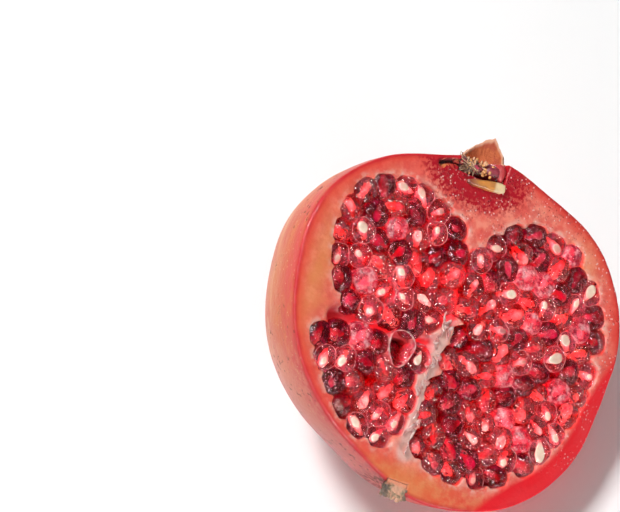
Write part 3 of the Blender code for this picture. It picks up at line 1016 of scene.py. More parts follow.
def rind_masks(points):
    """Where each tissue, and the painted shade of the crevice and the pockets, shows, from 0 to 1, at the
    rind's points.
    """
    flat = points[:, :2]
    inset = rim_inset(points)
    pocket = pocket_gap(points)
    behind = np.clip(-points[:, 2], 0, None)
    ochre = np.zeros(len(points))
    for x, y, wide, tall in OCHRE_SPOTS:
        off = ((flat[:, 0] - x) / wide) ** 2 + ((flat[:, 1] - y) / tall) ** 2
        ochre = np.maximum(ochre, np.exp(-off))
    return {
        "rim_red": 1 - soft_step(inset + np.clip(behind, 0, 3), 0.3, 1.3),
        "rim_pink": 1 - soft_step(inset, 0.5, 5.0),
        "rim_near": 1 - soft_step(behind, 1.0, 9.0),
        "low_side": 0.75 * soft_step(-points[:, 1], 8.0, 26.0),
        "far_side": 0.8 * soft_step(behind, 6.0, 15.0),
        "curl": rim_sink(flat),
        "lip": 1 - soft_step(pocket, 0.1, 1.3),
        # the pocket mask carries painted shade down the chambers' walls
        "pocket": soft_step(-pocket, 0.10, 0.5) * soft_step(behind, 0.25, 1.2),
        "septum": 1 - soft_step(line_distance(flat, SEPTUM_LINE), 1.4, 3.4),
        "hidden": 1 - soft_step(hidden_septum_distance(flat), 1.6, 3.6),
        # the crevice mask carries painted shade along the dip by the crown
        "crevice": 1 - soft_step(line_distance(flat, CREVICE), 0.3, 1.1),
        "crown_side": 1 - soft_step(np.hypot((points[:, 0] + 6.5) / 1.6, points[:, 1] - 41), 5.0, 14.0),
        "ochre": ochre,
        "low": soft_step(-points[:, 1], 33.0, 38.0),
        "left": soft_step(-points[:, 0], 15.0, 42.0),
        "pale": soft_step(-points[:, 0], 12.0, 36.0) * (1 - soft_step(behind, 16.0, 34.0)),
        "stem_side": 1 - soft_step(np.hypot(points[:, 0] - AXIS_X, points[:, 1] + 42), 3.2, 7.5),
        "wet": np.maximum(
            1 - soft_step(np.hypot(points[:, 0] + 2, points[:, 1] - 38), 12.0, 19.0),
            soft_step(points[:, 0], 8.0, 16.0) * soft_step(points[:, 1], -26.0, -18.0),
        ),
    }


def pith_material(looks):
    pith = Nodes("pith")
    pith.set(
        Roughness=0.40, Subsurface_Weight=0.15, Subsurface_Radius=(0.0016, 0.0007, 0.0005),
        Coat_Weight=0.12, Coat_Roughness=0.05, Specular_IOR_Level=0.12,
    )
    clouds = pith.range(pith.noise(6.0, 5.0, 0.62), 0.40, 0.60)
    blush = pith.range(pith.noise(3.4, 5.0, 0.65), 0.44, 0.62)
    patches = pith.range(pith.noise(4.5, 5.0, 0.65), 0.38, 0.62, 0.15, 0.9)
    mottle = pith.range(pith.noise(3.0, 4.0, 0.6), 0.4, 0.62)
    milky_lip = pith.times(pith.mask("lip"), pith.range(pith.noise(2.5), 0.4, 0.65))
    blood = pith.range(pith.noise(1.0, 2.0), 0.42, 0.60)
    near_crown = pith.times(pith.mask("crown_side"), pith.plus(0.9, blood))
    wet = pith.times(pith.range(pith.noise(5.0, 2.0), 0.40, 0.56), pith.mask("wet"))
    # painted highlights: small near-white spots in the wet areas stand in for the glints of wet pith
    painted_glints = pith.times(pith.range(pith.spots(1.1), 0.12, 0.26, 1.0, 0.0), wet)
    by_stem = pith.mix(mottle, (0.76, 0.08, 0.04), (0.76, 0.22, 0.09))
    pith.colour(pith.coats(tuple(looks.pith_salmon), (
        (clouds, tuple(looks.pith_pale)),
        (pith.times(pith.mask("left"), patches), (0.74, 0.17, 0.09)),
        (pith.times(blush, 0.5), (0.66, 0.07, 0.065)),
        (pith.mask("rim_pink", 0.8), (0.78, 0.05, 0.035)),
        (pith.mask("low", 0.7), by_stem),
        (pith.mask("ochre", 0.6), (0.76, 0.28, 0.085)),
        (pith.times(milky_lip, 0.8), (0.82, 0.48, 0.40)),
        (pith.mask("septum", 0.8), (0.72, 0.50, 0.44)),
        (pith.range(near_crown, 0.10, 1.0), (0.46, 0.008, 0.020)),
        (pith.range(pith.mask("curl"), 0.04, 0.28), (0.84, 0.008, 0.018)),
        (pith.mask("rim_red"), tuple(looks.rim_red)),
        (pith.mask("hidden", 0.9), (0.42, 0.03, 0.05)),
        # painted shade: near black along the crevice by the crown
        (pith.mask("crevice"), (0.06, 0.01, 0.01)),
        # painted shade: dark maroon down the pockets' walls, where the gaps between arils lie in shadow
        (pith.mask("pocket"), (0.16, 0.002, 0.01)),
        # painted highlights of the wet pith
        (pith.times(painted_glints, 0.75), (0.95, 0.66, 0.62)),
    )))
    drops = pith.range(pith.spots(0.9), 0.0, 0.42, 1.0, 0.0)
    grain = pith.times(pith.noise(1.2, 3.0), 0.35)
    pith.bump(pith.plus(pith.times(drops, wet), grain), 0.40)
    return pith.material


def skin_material(looks):
    skin = Nodes("skin")
    skin.set(Coat_Weight=0.06, Coat_Roughness=0.25, Specular_IOR_Level=0.2)
    streaks = skin.range(skin.noise(3.2, 5.0, stretch=(1, 0.16, 1)), 0.36, 0.66)
    blotch = skin.range(skin.noise(18.0, 4.0), 0.38, 0.64)
    gold = skin.range(skin.times(skin.mask("crown_side", 1.2), skin.plus(streaks, 0.4)), 0.25, 1.1)
    far_cream = skin.times(skin.mask("far_side"), streaks)
    pale_side = skin.coats((0.66, 0.17, 0.03), (
        (blotch, (0.62, 0.08, 0.03)),
        (skin.times(streaks, 0.8), (0.58, 0.045, 0.022)),
        (far_cream, (0.74, 0.36, 0.14)),
        (skin.range(skin.mask("low_side"), 0.0, 1.0), (0.76, 0.20, 0.13)),
    ))
    inner = skin.range(skin.noise(2.0, 5.0, 0.65, (1, 0.2, 1)), 0.42, 0.62)
    near_rim = skin.times(skin.mask("rim_near"), skin.plus(0.35, inner))
    dots = skin.range(skin.spots(1.5), 0.06, 0.2, 1.0, 0.0)
    flakes = skin.range(skin.noise(1.6, 4.0), 0.59, 0.68)
    patch = skin.range(skin.noise(14.0, 3.0), 0.47, 0.60)
    woody = skin.times(skin.mask("stem_side"), skin.range(skin.noise(1.2), 0.4, 0.6))
    scurf = skin.math("MAXIMUM", skin.times(flakes, patch), woody)
    skin.colour(skin.coats(tuple(looks.skin_red), (
        (blotch, (0.56, 0.05, 0.04)),
        (skin.times(streaks, 0.5), (0.62, 0.11, 0.06)),
        (gold, tuple(looks.skin_gold)),
        (skin.mask("pale"), pale_side),
        (near_rim, (0.66, 0.06, 0.045)),
        (skin.times(dots, 0.45), (0.80, 0.48, 0.22)),
        (skin.times(scurf, 0.85), (0.09, 0.04, 0.02)),
        (skin.mask("rim_red", 0.8), tuple(looks.rim_red)),
        (skin.range(skin.mask("curl"), 0.02, 0.2), (0.80, 0.008, 0.018)),
    )))
    skin.roughness(skin.range(scurf, 0.0, 1.0, 0.36, 0.75))
    skin.bump(skin.plus(skin.noise(0.8, 3.0), skin.noise(5.0, 2.0)), 0.10)
    return skin.material


def cutter_round(name, y_low, y_high, radius, steps=48):
    """A round cutter along the fruit's axis."""
    rings = []
    for y in (y_low, y_high):
        turns = 2 * math.pi * np.arange(steps) / steps
        ring = np.column_stack([
            AXIS_X + radius * np.cos(turns), np.full(steps, y), radius * np.sin(turns),
        ])
        rings.append(over_table(ring))
    bm = bmesh.new()
    low, high = ([bm.verts.new(point) for point in ring] for ring in rings)
    for i in range(steps):
        j = (i + 1) % steps
        bm.faces.new((low[i], low[j], high[j], high[i]))
    bm.faces.new(low)
    bm.faces.new(high)
    bmesh.ops.recalc_face_normals(bm, faces=bm.faces)
    mesh = bpy.data.meshes.new(name)
    bm.to_mesh(mesh)
    bm.free()
    return bpy.data.objects.new(name, mesh)


def cut_away(piece, cutter):
    """Applies one Boolean cut to the piece, and removes the cutter."""
    bpy.context.scene.collection.objects.link(cutter)
    modifier = piece.modifiers.new("cut", "BOOLEAN")
    modifier.object = cutter
    modifier.operation = "DIFFERENCE"
    graph = bpy.context.evaluated_depsgraph_get()
    piece.data = bpy.data.meshes.new_from_object(piece.evaluated_get(graph))
    piece.modifiers.clear()
    bpy.data.objects.remove(cutter, do_unlink=True)


def places_of(items, key):
    """The place of each of a mesh's vertices or faces, as rows."""
    values = np.empty(len(items) * 3)
    items.foreach_get(key, values)
    return values.reshape(-1, 3)


CUP_RADIUS = 7.2
CUP_FLOOR_Y = 38.6
SEAT_RADIUS = 3.05
SEAT_TOP_Y = -39.35
CUTTER_END_Y = 60.0
SKIN_EDGE_DEPTH = 0.35


class POMEGRANATE_OT_rind(bpy.types.Operator):
    """Builds the pith, its pockets and the skin as one closed piece"""

    bl_idname = "pomegranate.rind"
    bl_label = "Rind"

    def execute(self, context):
        looks = context.scene.pomegranate_looks
        shell = rind_shell()
        piece = add_piece(
            "rind_body", shell.points, shell.faces, pith_material(looks), "rind"
        )
        cut_away(piece, cutter_round("cup", CUP_FLOOR_Y, CUTTER_END_Y, CUP_RADIUS))
        cut_away(piece, cutter_round("seat", -CUTTER_END_Y, SEAT_TOP_Y, SEAT_RADIUS))
        mesh = piece.data
        write_masks(mesh, rind_masks(in_face(places_of(mesh.vertices, "co"))))
        mesh.materials.append(skin_material(looks))
        middles = in_face(places_of(mesh.polygons, "center"))
        behind_face = middles[:, 2] < face_height(middles[:, :2]) - SKIN_EDGE_DEPTH
        in_pocket = (pocket_gap(middles) < 0.3) & (middles[:, 2] > -12) & (rim_inset(middles) > 1.5)
        in_cup = (
            (np.hypot(middles[:, 0] - AXIS_X, middles[:, 2]) < CUP_RADIUS + 0.05)
            & (middles[:, 1] > CUP_FLOOR_Y - 0.05)
        )
        skin_side = behind_face & ~in_cup & ~in_pocket
        mesh.polygons.foreach_set("material_index", skin_side.astype(np.int32))
        return {"FINISHED"}


class POMEGRANATE_OT_arils(bpy.types.Operator):
    """Builds every chamber's arils, the seeds inside them and the thin skins round the cut ones"""

    bl_idname = "pomegranate.arils"
    bl_label = "Arils"

    def execute(self, context):
        looks = context.scene.pomegranate_looks
        red = tuple(looks.gel_red)
        gels = {kind: gel_material(f"{kind}_gel", red, *finish) for kind, finish in GELS.items()}
        seeds = seed_material(looks)
        skins = tissue_material("aril_skin", (0.50, 0.06, 0.12), (0.82, 0.42, 0.44), 0.5)
        fine, fine_faces = ball(4)
        coarse, coarse_faces = ball(3)
        parts = {(chamber, kind): [] for chamber in CHAMBERS for kind in gels}
        pips = {chamber: [] for chamber in CHAMBERS}
        rims = {chamber: [] for chamber in CHAMBERS}
        draw = np.random.default_rng(404)
        kinds, shares = list(KIND_SHARES), list(KIND_SHARES.values())
        for chamber, on_top, kernel in all_kernels():
            kind = str(draw.choice(kinds, p=shares)) if on_top else "deep"
            ways, faces = (fine, fine_faces) if on_top else (coarse, coarse_faces)
            gel = kernel.surface(ways)
            gel = gel * (1 + 0.03 * ripple(gel + kernel.centre, 1.8, 5))[:, None]
            pip = seed_offsets(kernel, coarse, draw.uniform(*SEED_LIFT), draw.uniform(*SEED_SIZE))
            tone = draw.uniform(*SEED_TONE) + 0.5 * (coarse @ kernel.axis) * draw.choice((-1, 1))
            if kind == "cut":
                cut = pip[:, 2].max() - draw.uniform(*CUT_INTO_SEED)
                uneven = 0.06 * ripple(gel[:, :2] + kernel.centre[:2], 1.2, 2)
                gel[:, 2] = np.minimum(gel[:, 2], cut + uneven)
                pip[:, 2] = np.minimum(pip[:, 2], cut + 0.12)
                tone = tone * 0.4
                outline = kernel.outline(cut, 36) + kernel.centre
                rims[chamber].append((*tube(outline, CUT_SKIN_RADIUS, closed=True), 0.0))
            parts[chamber, kind].append((gel + kernel.centre, faces, 0.0))
            if on_top or draw.random() < DEEP_SEED_SHARE:
                pips[chamber].append((pip + kernel.centre, coarse_faces, np.clip(tone, 0, 1)))
        for chamber in CHAMBERS:
            node = f"arils_{chamber}"
            for kind, gel in gels.items():
                if not parts[chamber, kind]:
                    continue
                points, faces, _ = joined(parts[chamber, kind])
                add_piece(f"{node}_{kind}", points, faces, gel, node)
            points, faces = aril_mass(chamber)
            add_piece(f"aril_mass_{chamber}", points, faces, gels["deep"], node)
            points, faces, tones = joined(pips[chamber])
            add_piece(f"seeds_{chamber}", points, faces, seeds, node, {"tone": tones})
            points, faces, _ = joined(rims[chamber])
            add_piece(f"aril_skins_{chamber}", points, faces, skins, node)
        return {"FINISHED"}


SCRAP_LENGTH = (1.6, 4.2)
SCRAP_WIDTH = (0.7, 1.9)


def scrap(draw, centre, heading):
    """A small torn flap of membrane: a wavy sheet that thins to its edge."""
    length, width = draw.uniform(*SCRAP_LENGTH), draw.uniform(*SCRAP_WIDTH)
    s, t = np.meshgrid(np.linspace(-1, 1, 13), np.linspace(-1, 1, 7), indexing="ij")
    narrow = np.sqrt(np.clip(1 - 0.85 * s**2, 0, 1))
    x, y = s * length / 2, t * width / 2 * narrow
    lean = draw.uniform(0.2, 1.2)
    z = 0.35 * np.sin(3 * s + draw.uniform(0, 6)) + y * math.tan(lean) * 0.6
    way = np.array([math.cos(heading), math.sin(heading)])
    side = np.array([-way[1], way[0]])
    flat = x[..., None] * way + y[..., None] * side
    grid = np.concatenate([flat, z[..., None]], axis=2) + centre
    grid[..., 2] += 0.12 * ripple(grid.reshape(-1, 3), 1.2, 6).reshape(z.shape)
    return thick_sheet(grid, 0.14 + 0.16 * (1 - t**2))


class POMEGRANATE_OT_membranes(bpy.types.Operator):
    """Builds the empty cell's standing skin and the torn flaps of membrane along the septum"""

    bl_idname = "pomegranate.membranes"
    bl_label = "Membranes"

    def execute(self, context):
        draw = np.random.default_rng(88)
        skin = tissue_material("cell_skin", (0.62, 0.12, 0.16), (0.86, 0.55, 0.52), 0.45)
        turns = np.linspace(0, 2 * math.pi, 72, endpoint=False)
        rises = np.linspace(0, 1, 12)
        rim = 0.7 + 0.35 * np.sin(2 * turns + 0.6) + 0.2 * np.sin(5 * turns)
        around, rise = np.meshgrid(turns, rises, indexing="ij")
        wide = 1 + 0.06 * np.sin(3 * around) + 0.08 * rise
        grid = np.stack([
            CELL_CENTRE[0] + CELL_RADII[0] * wide * np.cos(around),
            CELL_CENTRE[1] + CELL_RADII[1] * wide * np.sin(around),
            CELL_FOOT_Z + (rim[:, None] - CELL_FOOT_Z) * rise,
        ], axis=2)
        points, faces = thick_sheet(grid, 0.34 - 0.12 * rise, wrap=True)
        add_piece("empty_cell", points, faces, skin, "arils_lower_left")
        flaps = []
        line = np.array(SEPTUM_LINE, float)
        run = np.linspace(0, len(line) - 1, 200)
        line = np.column_stack([np.interp(run, np.arange(len(line)), line[:, k]) for k in range(2)])
        for _ in range(context.scene.pomegranate_sizes.flaps):
            x, y = line[draw.integers(0, int(len(line) * 0.95))]
            place = (x + draw.normal(0, 0.9), y + draw.normal(0, 0.7), draw.uniform(-0.3, 0.5))
            flaps.append((*scrap(draw, np.array(place), draw.uniform(0.9, 2.2)), 0.0))
        points, faces, _ = joined(flaps)
        scraps = tissue_material("membrane", (0.66, 0.26, 0.24), (0.84, 0.66, 0.60), 0.15)
        add_piece("membrane_flaps", points, faces, scraps, "rind")
        return {"FINISHED"}


# The crown: the edge of the sepals as (angle round the cup in degrees, height on the axis)
CROWN_EDGE = (
    (0, 41.8), (25, 42.6), (50, 43.4), (67, 44.5), (79, 46.2), (88, 47.6), (101, 49.5),
    (116, 51.6), (127, 52.4), (134, 50.9), (149, 47.8), (153, 46.0), (165, 45.2), (180, 44.6),
)
CROWN_ROOT_Y = 40.2
CROWN_WALL = 1.5
CROWN_FLARE = 1.7


def crown_grid():
    angles = np.linspace(CROWN_EDGE[0][0], CROWN_EDGE[-1][0], 180)
    edge = np.interp(angles, *zip(*CROWN_EDGE))
    edge = edge + 0.10 * np.sin(angles * 0.4) + 0.06 * np.sin(angles * 0.9 + 1)
    rises = np.linspace(0, 1, 26)
    side, rise = np.meshgrid(np.radians(angles), rises, indexing="ij")
    y = CROWN_ROOT_Y + (edge[:, None] - CROWN_ROOT_Y) * rise
    tall = np.clip((edge[:, None] - 45) / 7.6, 0, 1)
    radius = CUP_RADIUS + CROWN_WALL / 2 + CROWN_FLARE * tall * rise**1.5
    radius = radius + 0.22 * np.sin(7 * side + 2 * rise) * rise * (0.4 + tall)
    grid = np.stack([AXIS_X - radius * np.cos(side), y, -radius * np.sin(side) - 0.3], axis=2)
    thick = CROWN_WALL * (1 - 0.45 * rise) * (1 - 0.25 * tall)
    return grid, thick, rise


def crown_material(looks):
    crown = Nodes("crown")
    crown.set(Roughness=0.7, Specular_IOR_Level=0.12)
    streaks = crown.range(crown.noise(1.1, 5.0, stretch=(1, 0.18, 1)), 0.34, 0.68)
    stain = crown.range(crown.noise(3.0, 3.0), 0.46, 0.62)
    edge = crown.range(crown.mask("rise"), 0.86, 0.985)
    foot = crown.range(crown.mask("rise"), 0.08, 0.42, 1.0, 0.0)
    crown.colour(crown.coats(tuple(looks.crown_russet), (
        (streaks, (0.60, 0.14, 0.045)),
        (crown.times(stain, 0.7), (0.42, 0.06, 0.03)),
        (edge, (0.80, 0.42, 0.27)),
        (crown.times(foot, 0.8), (0.40, 0.03, 0.03)),
    )))
    ribs = crown.noise(0.7, 4.0, stretch=(1, 0.2, 1))
    crown.bump(crown.plus(ribs, crown.noise(0.4, 2.0)), 0.22)
    return crown.material


# The cup's lumps of tissue: centre, half width and half height in millimetres, and tone
CUP_LUMPS = (
    (-6.4, 41.0, -2.4, 2.6, 1.4, 0.55), (-8.6, 40.6, -3.4, 2.6, 1.5, 0.3),
    (-3.8, 41.3, -2.8, 2.3, 1.5, 0.25), (-0.9, 42.0, -2.2, 2.8, 2.0, 0.36),
    (1.4, 42.6, -2.0, 1.5, 2.4, 0.75), (-5.2, 42.0, -5.0, 5.4, 2.0, 0.1),
    (-10.2, 41.2, -3.2, 1.4, 1.8, 0.35),
)
CUP_LUMP_DEPTH = 1.9
CUP_CRUMBS = 38


class POMEGRANATE_OT_crown(bpy.types.Operator):
    """Builds the leathery half ring of sepals behind the cut, and the tissue in its cup"""

    bl_idname = "pomegranate.crown"
    bl_label = "Crown"

    def execute(self, context):
        looks = context.scene.pomegranate_looks
        grid, thick, rise = crown_grid()
        points, faces = thick_sheet(grid, thick)
        rises = np.concatenate([rise.ravel(), rise.ravel()])
        add_piece("crown_sepals", points, faces, crown_material(looks), "rind", {"rise": rises})
        ways, ball_faces = ball(3)
        draw = np.random.default_rng(31)
        lumps = []
        for *place, wide, tall, tone in CUP_LUMPS:
            made = lump(ways, (wide, tall, CUP_LUMP_DEPTH), place, 0.16, 2.2, 12)
            lumps.append((made, ball_faces, tone))
        for _ in range(CUP_CRUMBS):
            place = place_in(draw, (-11, 2.0), (40.6, 42.4), (-3.6, -0.4))
            crumb = ways * draw.uniform(0.25, 0.6, 3) + place
            lumps.append((crumb, ball_faces, draw.uniform(0, 1)))
        points, faces, tones = joined(lumps)
        tissue = Nodes("cup_tissue")
        tissue.set(Roughness=0.45, Coat_Weight=0.15, Coat_Roughness=0.1, Specular_IOR_Level=0.25)
        tissue.colour(tissue.ramp(tissue.mask("tone"), (
            (0.0, (0.05, 0.008, 0.006)), (0.3, (0.22, 0.02, 0.03)), (0.55, (0.62, 0.05, 0.11)),
            (0.8, (0.55, 0.045, 0.035)), (1.0, (0.60, 0.30, 0.10)),
        )))
        tissue.bump(tissue.noise(0.5, 3.0), 0.2)
        add_piece("cup_tissue", points, faces, tissue.material, "stamens", {"tone": tones})
        return {"FINISHED"}


def strand(draw, root, lean, length, curl):
    """The path of one dried filament, curling more towards its tip."""
    t = np.linspace(0, 1, 12)[:, None]
    wave = 0.25 * np.sin(t * draw.uniform(5, 9) + draw.uniform(0, 6)) * draw.normal(0, 1, 3)
    return root + lean * length * t + curl * length * t**2 + wave * t


LYING_FILAMENTS = 44
ANTHER_SHARE = 0.45
POLLEN_CRUMBS = 16
LYING_LENGTH = (2.4, 5.6)
STANDING_LENGTH = (0.8, 2.2)
FILAMENT_RADIUS = (0.10, 0.20)
ANTHER_SIZE = (0.22, 0.42)
ANTHER_STRETCH = 1.6


class POMEGRANATE_OT_stamens(bpy.types.Operator):
    """Builds the dried filaments and anthers in the crown's cup"""

    bl_idname = "pomegranate.stamens"
    bl_label = "Stamens"

    def execute(self, context):
        looks = context.scene.pomegranate_looks
        draw = np.random.default_rng(77)
        ways, ball_faces = ball(2)
        parts = []
        for number in range(context.scene.pomegranate_sizes.filaments):
            if number < LYING_FILAMENTS:
                root = place_in(draw, (-8.5, -4.5), (39.6, 41.4), (-1.6, -0.4))
                lean = np.array([-1.0, draw.normal(0.06, 0.16), draw.normal(0.05, 0.12)])
                length = draw.uniform(*LYING_LENGTH)
            else:
                root = np.array([draw.uniform(-7.0, 1.5), 41.0, draw.uniform(-5.5, -1.4)])
                lean = np.array([draw.normal(0, 0.6), 1.0, draw.normal(0.15, 0.4)])
                length = draw.uniform(*STANDING_LENGTH)
            curl = draw.normal(0, 0.35, 3) * (1.0, 1.0, 0.4)
            lean = lean / np.linalg.norm(lean)
            path = strand(draw, root, lean, length, curl)
            gap = np.hypot(path[:, 0] - AXIS_X, path[:, 2])
            pull = np.minimum(1, (CUP_RADIUS - 0.3) / gap)
            path[:, 0] = AXIS_X + (path[:, 0] - AXIS_X) * pull
            path[:, 2] = np.minimum(path[:, 2] * pull, -0.1)
            thick = draw.uniform(*FILAMENT_RADIUS) * np.linspace(1.1, 0.7, len(path))
            parts.append((*tube(path, thick, 7), draw.uniform(0.0, 0.6)))
            if draw.random() < ANTHER_SHARE and path[-1][0] > -9.0:
                size = draw.uniform(*ANTHER_SIZE)
                anther = lump(ways, (size, size * ANTHER_STRETCH, size), path[-1], 0.4, 0.8, 2)
                parts.append((anther, ball_faces, draw.uniform(0.6, 1.0)))
        for _ in range(POLLEN_CRUMBS):
            place = place_in(draw, (-4.6, -1.4), (39.9, 43.6), (-1.6, -0.2))
            crumb = ways * draw.uniform(0.22, 0.6, 3) + place
            parts.append((crumb, ball_faces, draw.uniform(0.75, 1.0)))
        points, faces, tones = joined(parts)
        dry = Nodes("dried_stamen")
        dry.set(Roughness=0.6)
        dry.colour(dry.ramp(dry.mask("tone"), (
            (0.0, (0.16, 0.05, 0.02)), (0.35, tuple(looks.stamen_tan)), (0.6, (0.72, 0.42, 0.24)),
            (0.8, (0.60, 0.22, 0.04)), (1.0, (0.80, 0.38, 0.07)),
        )))
        dry.bump(dry.noise(0.4, 3.0), 0.08)
        add_piece("dried_stamens", points, faces, dry.material, "stamens", {"tone": tones})
        return {"FINISHED"}


STYLE_LENGTH = 11.0
STYLE_PLACE = (-3.2, 37.7, 0.1)
STYLE_TURN_DEG = 9.0
STYLE_HALF_HEIGHT = 1.1
STYLE_SQUARENESS = 5
# The stump's half width at shares of its length
STYLE_WIDTHS = ((-0.5, 0.35), (-0.35, 0.8), (0.1, 1.25), (0.42, 1.3), (0.5, 1.05))


class POMEGRANATE_OT_style(bpy.types.Operator):
    """Builds the cut stump of the style, with its pale end"""

    bl_idname = "pomegranate.style"
    bl_label = "Style"

    def execute(self, context):
        looks = context.scene.pomegranate_looks
        along = np.linspace(-0.5, 0.5, 40)
        turns = np.linspace(0, 2 * math.pi, 40, endpoint=False)
        power = STYLE_SQUARENESS
        square = (np.abs(np.cos(turns)) ** power + np.abs(np.sin(turns)) ** power) ** (-1 / power)
        rings = []
        turn = math.radians(STYLE_TURN_DEG)
        for a, half_width in zip(along, np.interp(along, *zip(*STYLE_WIDTHS))):
            u = np.cos(turns) * square * half_width
            v = np.sin(turns) * square * STYLE_HALF_HEIGHT
            ring = np.column_stack([np.full(len(turns), a * STYLE_LENGTH), u, v])
            ring = ring + 0.09 * ripple(ring, 1.6, 21)[:, None] * (ring - (a * STYLE_LENGTH, 0, 0))
            x = ring[:, 0] * math.cos(turn) - ring[:, 1] * math.sin(turn)
            y = ring[:, 0] * math.sin(turn) + ring[:, 1] * math.cos(turn)
            rings.append(np.column_stack([x, y, ring[:, 2]]) + STYLE_PLACE)
        points, faces = lofted(rings)
        share = (points[:, 0] - STYLE_PLACE[0]) / STYLE_LENGTH
        masks = {"end": soft_step(share, 0.20, 0.27), "shade": 1 - soft_step(share, -0.5, -0.1)}
        style = Nodes("style")
        style.set(
            Roughness=0.42, Coat_Weight=0.3, Coat_Roughness=0.15, Subsurface_Weight=0.1,
            Subsurface_Radius=(0.001, 0.0005, 0.0002),
        )
        streaks = style.range(style.noise(1.0, 4.0, stretch=(0.3, 1, 1)), 0.35, 0.7)
        style.colour(style.coats(tuple(looks.style_ochre), (
            (streaks, (0.50, 0.18, 0.04)),
            (style.mask("shade", 0.9), (0.22, 0.02, 0.02)),
            (style.mask("end"), (0.86, 0.62, 0.34)),
        )))
        style.bump(style.noise(0.5, 3.0), 0.12)
        add_piece("style_stump", points, faces, style.material, "style", masks)
        return {"FINISHED"}


STUB_RADIUS = 2.75
STUB_FLARE = 0.2
STUB_TOP_Y = -39.45
STUB_LENGTH = 3.6
BARK_RIBS = 17
STUB_CRUMBS = 90
STUB_END_CRUMBS = 40
# Where the stub's cut wood shows tan, across its axis, and the tones of crumbs there and beside it
TAN_REACH = (-1.8, 2.5)
TAN_TONES = (0.4, 1.0)
DARK_TONES = (0.0, 0.35)


class POMEGRANATE_OT_stem(bpy.types.Operator):
    """Builds the cut woody stub of the stalk, with its crumbled bark"""

    bl_idname = "pomegranate.stem"
    bl_label = "Stem stub"

    def execute(self, context):
        looks = context.scene.pomegranate_looks
        turns = np.linspace(0, 2 * math.pi, 96, endpoint=False)
        cos, sin = np.cos(turns), np.sin(turns)
        flat_side = np.where(sin > 0, 0.0, 1.0)
        rings = []
        for t in np.linspace(0, 1, 22):
            radius = STUB_RADIUS + STUB_FLARE * t
            ring = np.column_stack([
                AXIS_X + radius * cos,
                np.full(len(turns), STUB_TOP_Y - STUB_LENGTH * t),
                radius * sin * flat_side - 0.05,
            ])
            bark = 0.13 * ripple(ring, 1.3, 14) + 0.10 * np.sin(turns * BARK_RIBS + 3 * t)
            ring[:, 0] += bark * cos
            ring[:, 2] += np.where(sin > 0, 0.10 * ripple(ring, 1.0, 15), bark * sin)
            ring[:, 1] += 0.25 * t * ripple(ring, 1.7, 16)
            rings.append(ring)
        points, faces = lofted(rings)
        side = (AXIS_X + 0.4 - points[:, 0]) / 2.6 + 0.25 * ripple(points, 1.2, 17)
        tone = np.clip(1.2 - 1.3 * np.where(side > 0, side, -0.85 * side) ** 2, 0.05, 1)
        parts = [(points, faces, tone)]
        ways, ball_faces = ball(2)
        draw = np.random.default_rng(61)
        for number in range(STUB_CRUMBS):
            turn = draw.uniform(-math.pi - 0.1, 0.1)
            radius = draw.uniform(2.5, 3.15)
            y = draw.uniform(-43.3, -40.6)
            if number < STUB_END_CRUMBS:
                turn, radius, y = 0.0, draw.uniform(-3.2, 3.2), draw.uniform(-43.5, -42.4)
            place = (AXIS_X + radius * math.cos(turn), y, radius * math.sin(turn) - 0.2)
            crumb = lump(ways, draw.uniform(0.2, 0.6, 3) * (1.2, 1.3, 0.8), place, 0.5, 0.8, 3)
            tones = TAN_TONES if TAN_REACH[0] < place[0] - AXIS_X < TAN_REACH[1] else DARK_TONES
            parts.append((crumb, ball_faces, draw.uniform(*tones)))
        points, faces, tones = joined(parts)
        wood = Nodes("stem_wood")
        wood.set(Roughness=0.8)
        cut = wood.range(wood.noise(0.7, 4.0, stretch=(1, 0.25, 1)), 0.35, 0.7)
        base = wood.ramp(wood.mask("tone"), (
            (0.0, (0.03, 0.022, 0.01)), (0.3, tuple(looks.stem_brown)), (0.6, (0.30, 0.19, 0.09)),
            (1.0, (0.70, 0.34, 0.20)),
        ))
        wood.colour(wood.coats(base, (
            (wood.times(cut, 0.4), (0.44, 0.19, 0.10)),
            (wood.mask("fade"), (0.74, 0.24, 0.11)),
        )))
        wood.bump(wood.noise(0.5, 4.0, stretch=(1, 0.3, 1)), 0.25)
        fade = soft_step(points[:, 1] + 0.5 * ripple(points, 1.0, 18), -41.0, -39.9)
        fade = fade * soft_step(points[:, 2], -0.6, -0.1)
        masks = {"tone": tones, "fade": fade}
        add_piece("stem_stub_wood", points, faces, wood.material, "stem_stub", masks)
        return {"FINISHED"}


def add_area(name, place, target, size, power):
    lamp = bpy.data.lights.new(name, "AREA")
    lamp.size = size
    lamp.energy = power
    light = bpy.data.objects.new(name, lamp)
    bpy.context.scene.collection.objects.link(light)
    light.location = place
    light.rotation_euler = (Vector(target) - Vector(place)).to_track_quat("-Z", "Y").to_euler()
    return light


# The soft lamps: way from the fruit in camera axes, distance and size in metres, power in watts
LAMPS = {
    "key": ((-0.45, 0.75, 0.80), 0.9, 0.20, 8.2),
    "fill": ((0.75, -0.95, 0.45), 1.0, 0.40, 8.0),
}
SKY_STRENGTH = 0.11
# Small lamps round the camera, for the wet flesh's many glints
GLINT_AZIMUTHS_DEG = (55, 82, 110, 138, 166, 194, 222, 250, 278, 305)
GLINT_SPREAD = 0.62
GLINT_FORWARD = 0.8
GLINT_SIZE = 0.10
GLINT_POWER = 6.0
FLOOR_HALF = 3.0
FLOOR_DROP = 0.0002


def face_in_view():
    """Directions of the face's x, y and z as seen by the camera: right, up and towards it."""
    turn, tilt = math.radians(FACE_TURN_DEG), math.radians(FACE_TILT_DEG)
    out = Vector((
        math.sin(turn) * math.cos(tilt), math.sin(turn) * math.sin(tilt), math.cos(turn),
    )).normalized()
    up = Vector((CROWN_PIXELS[0], CROWN_PIXELS[1], 0.0)).normalized()
    up.z = -(up.x * out.x + up.y * out.y) / out.z
    up.normalize()
    return Matrix((up.cross(out), up, out)).transposed()


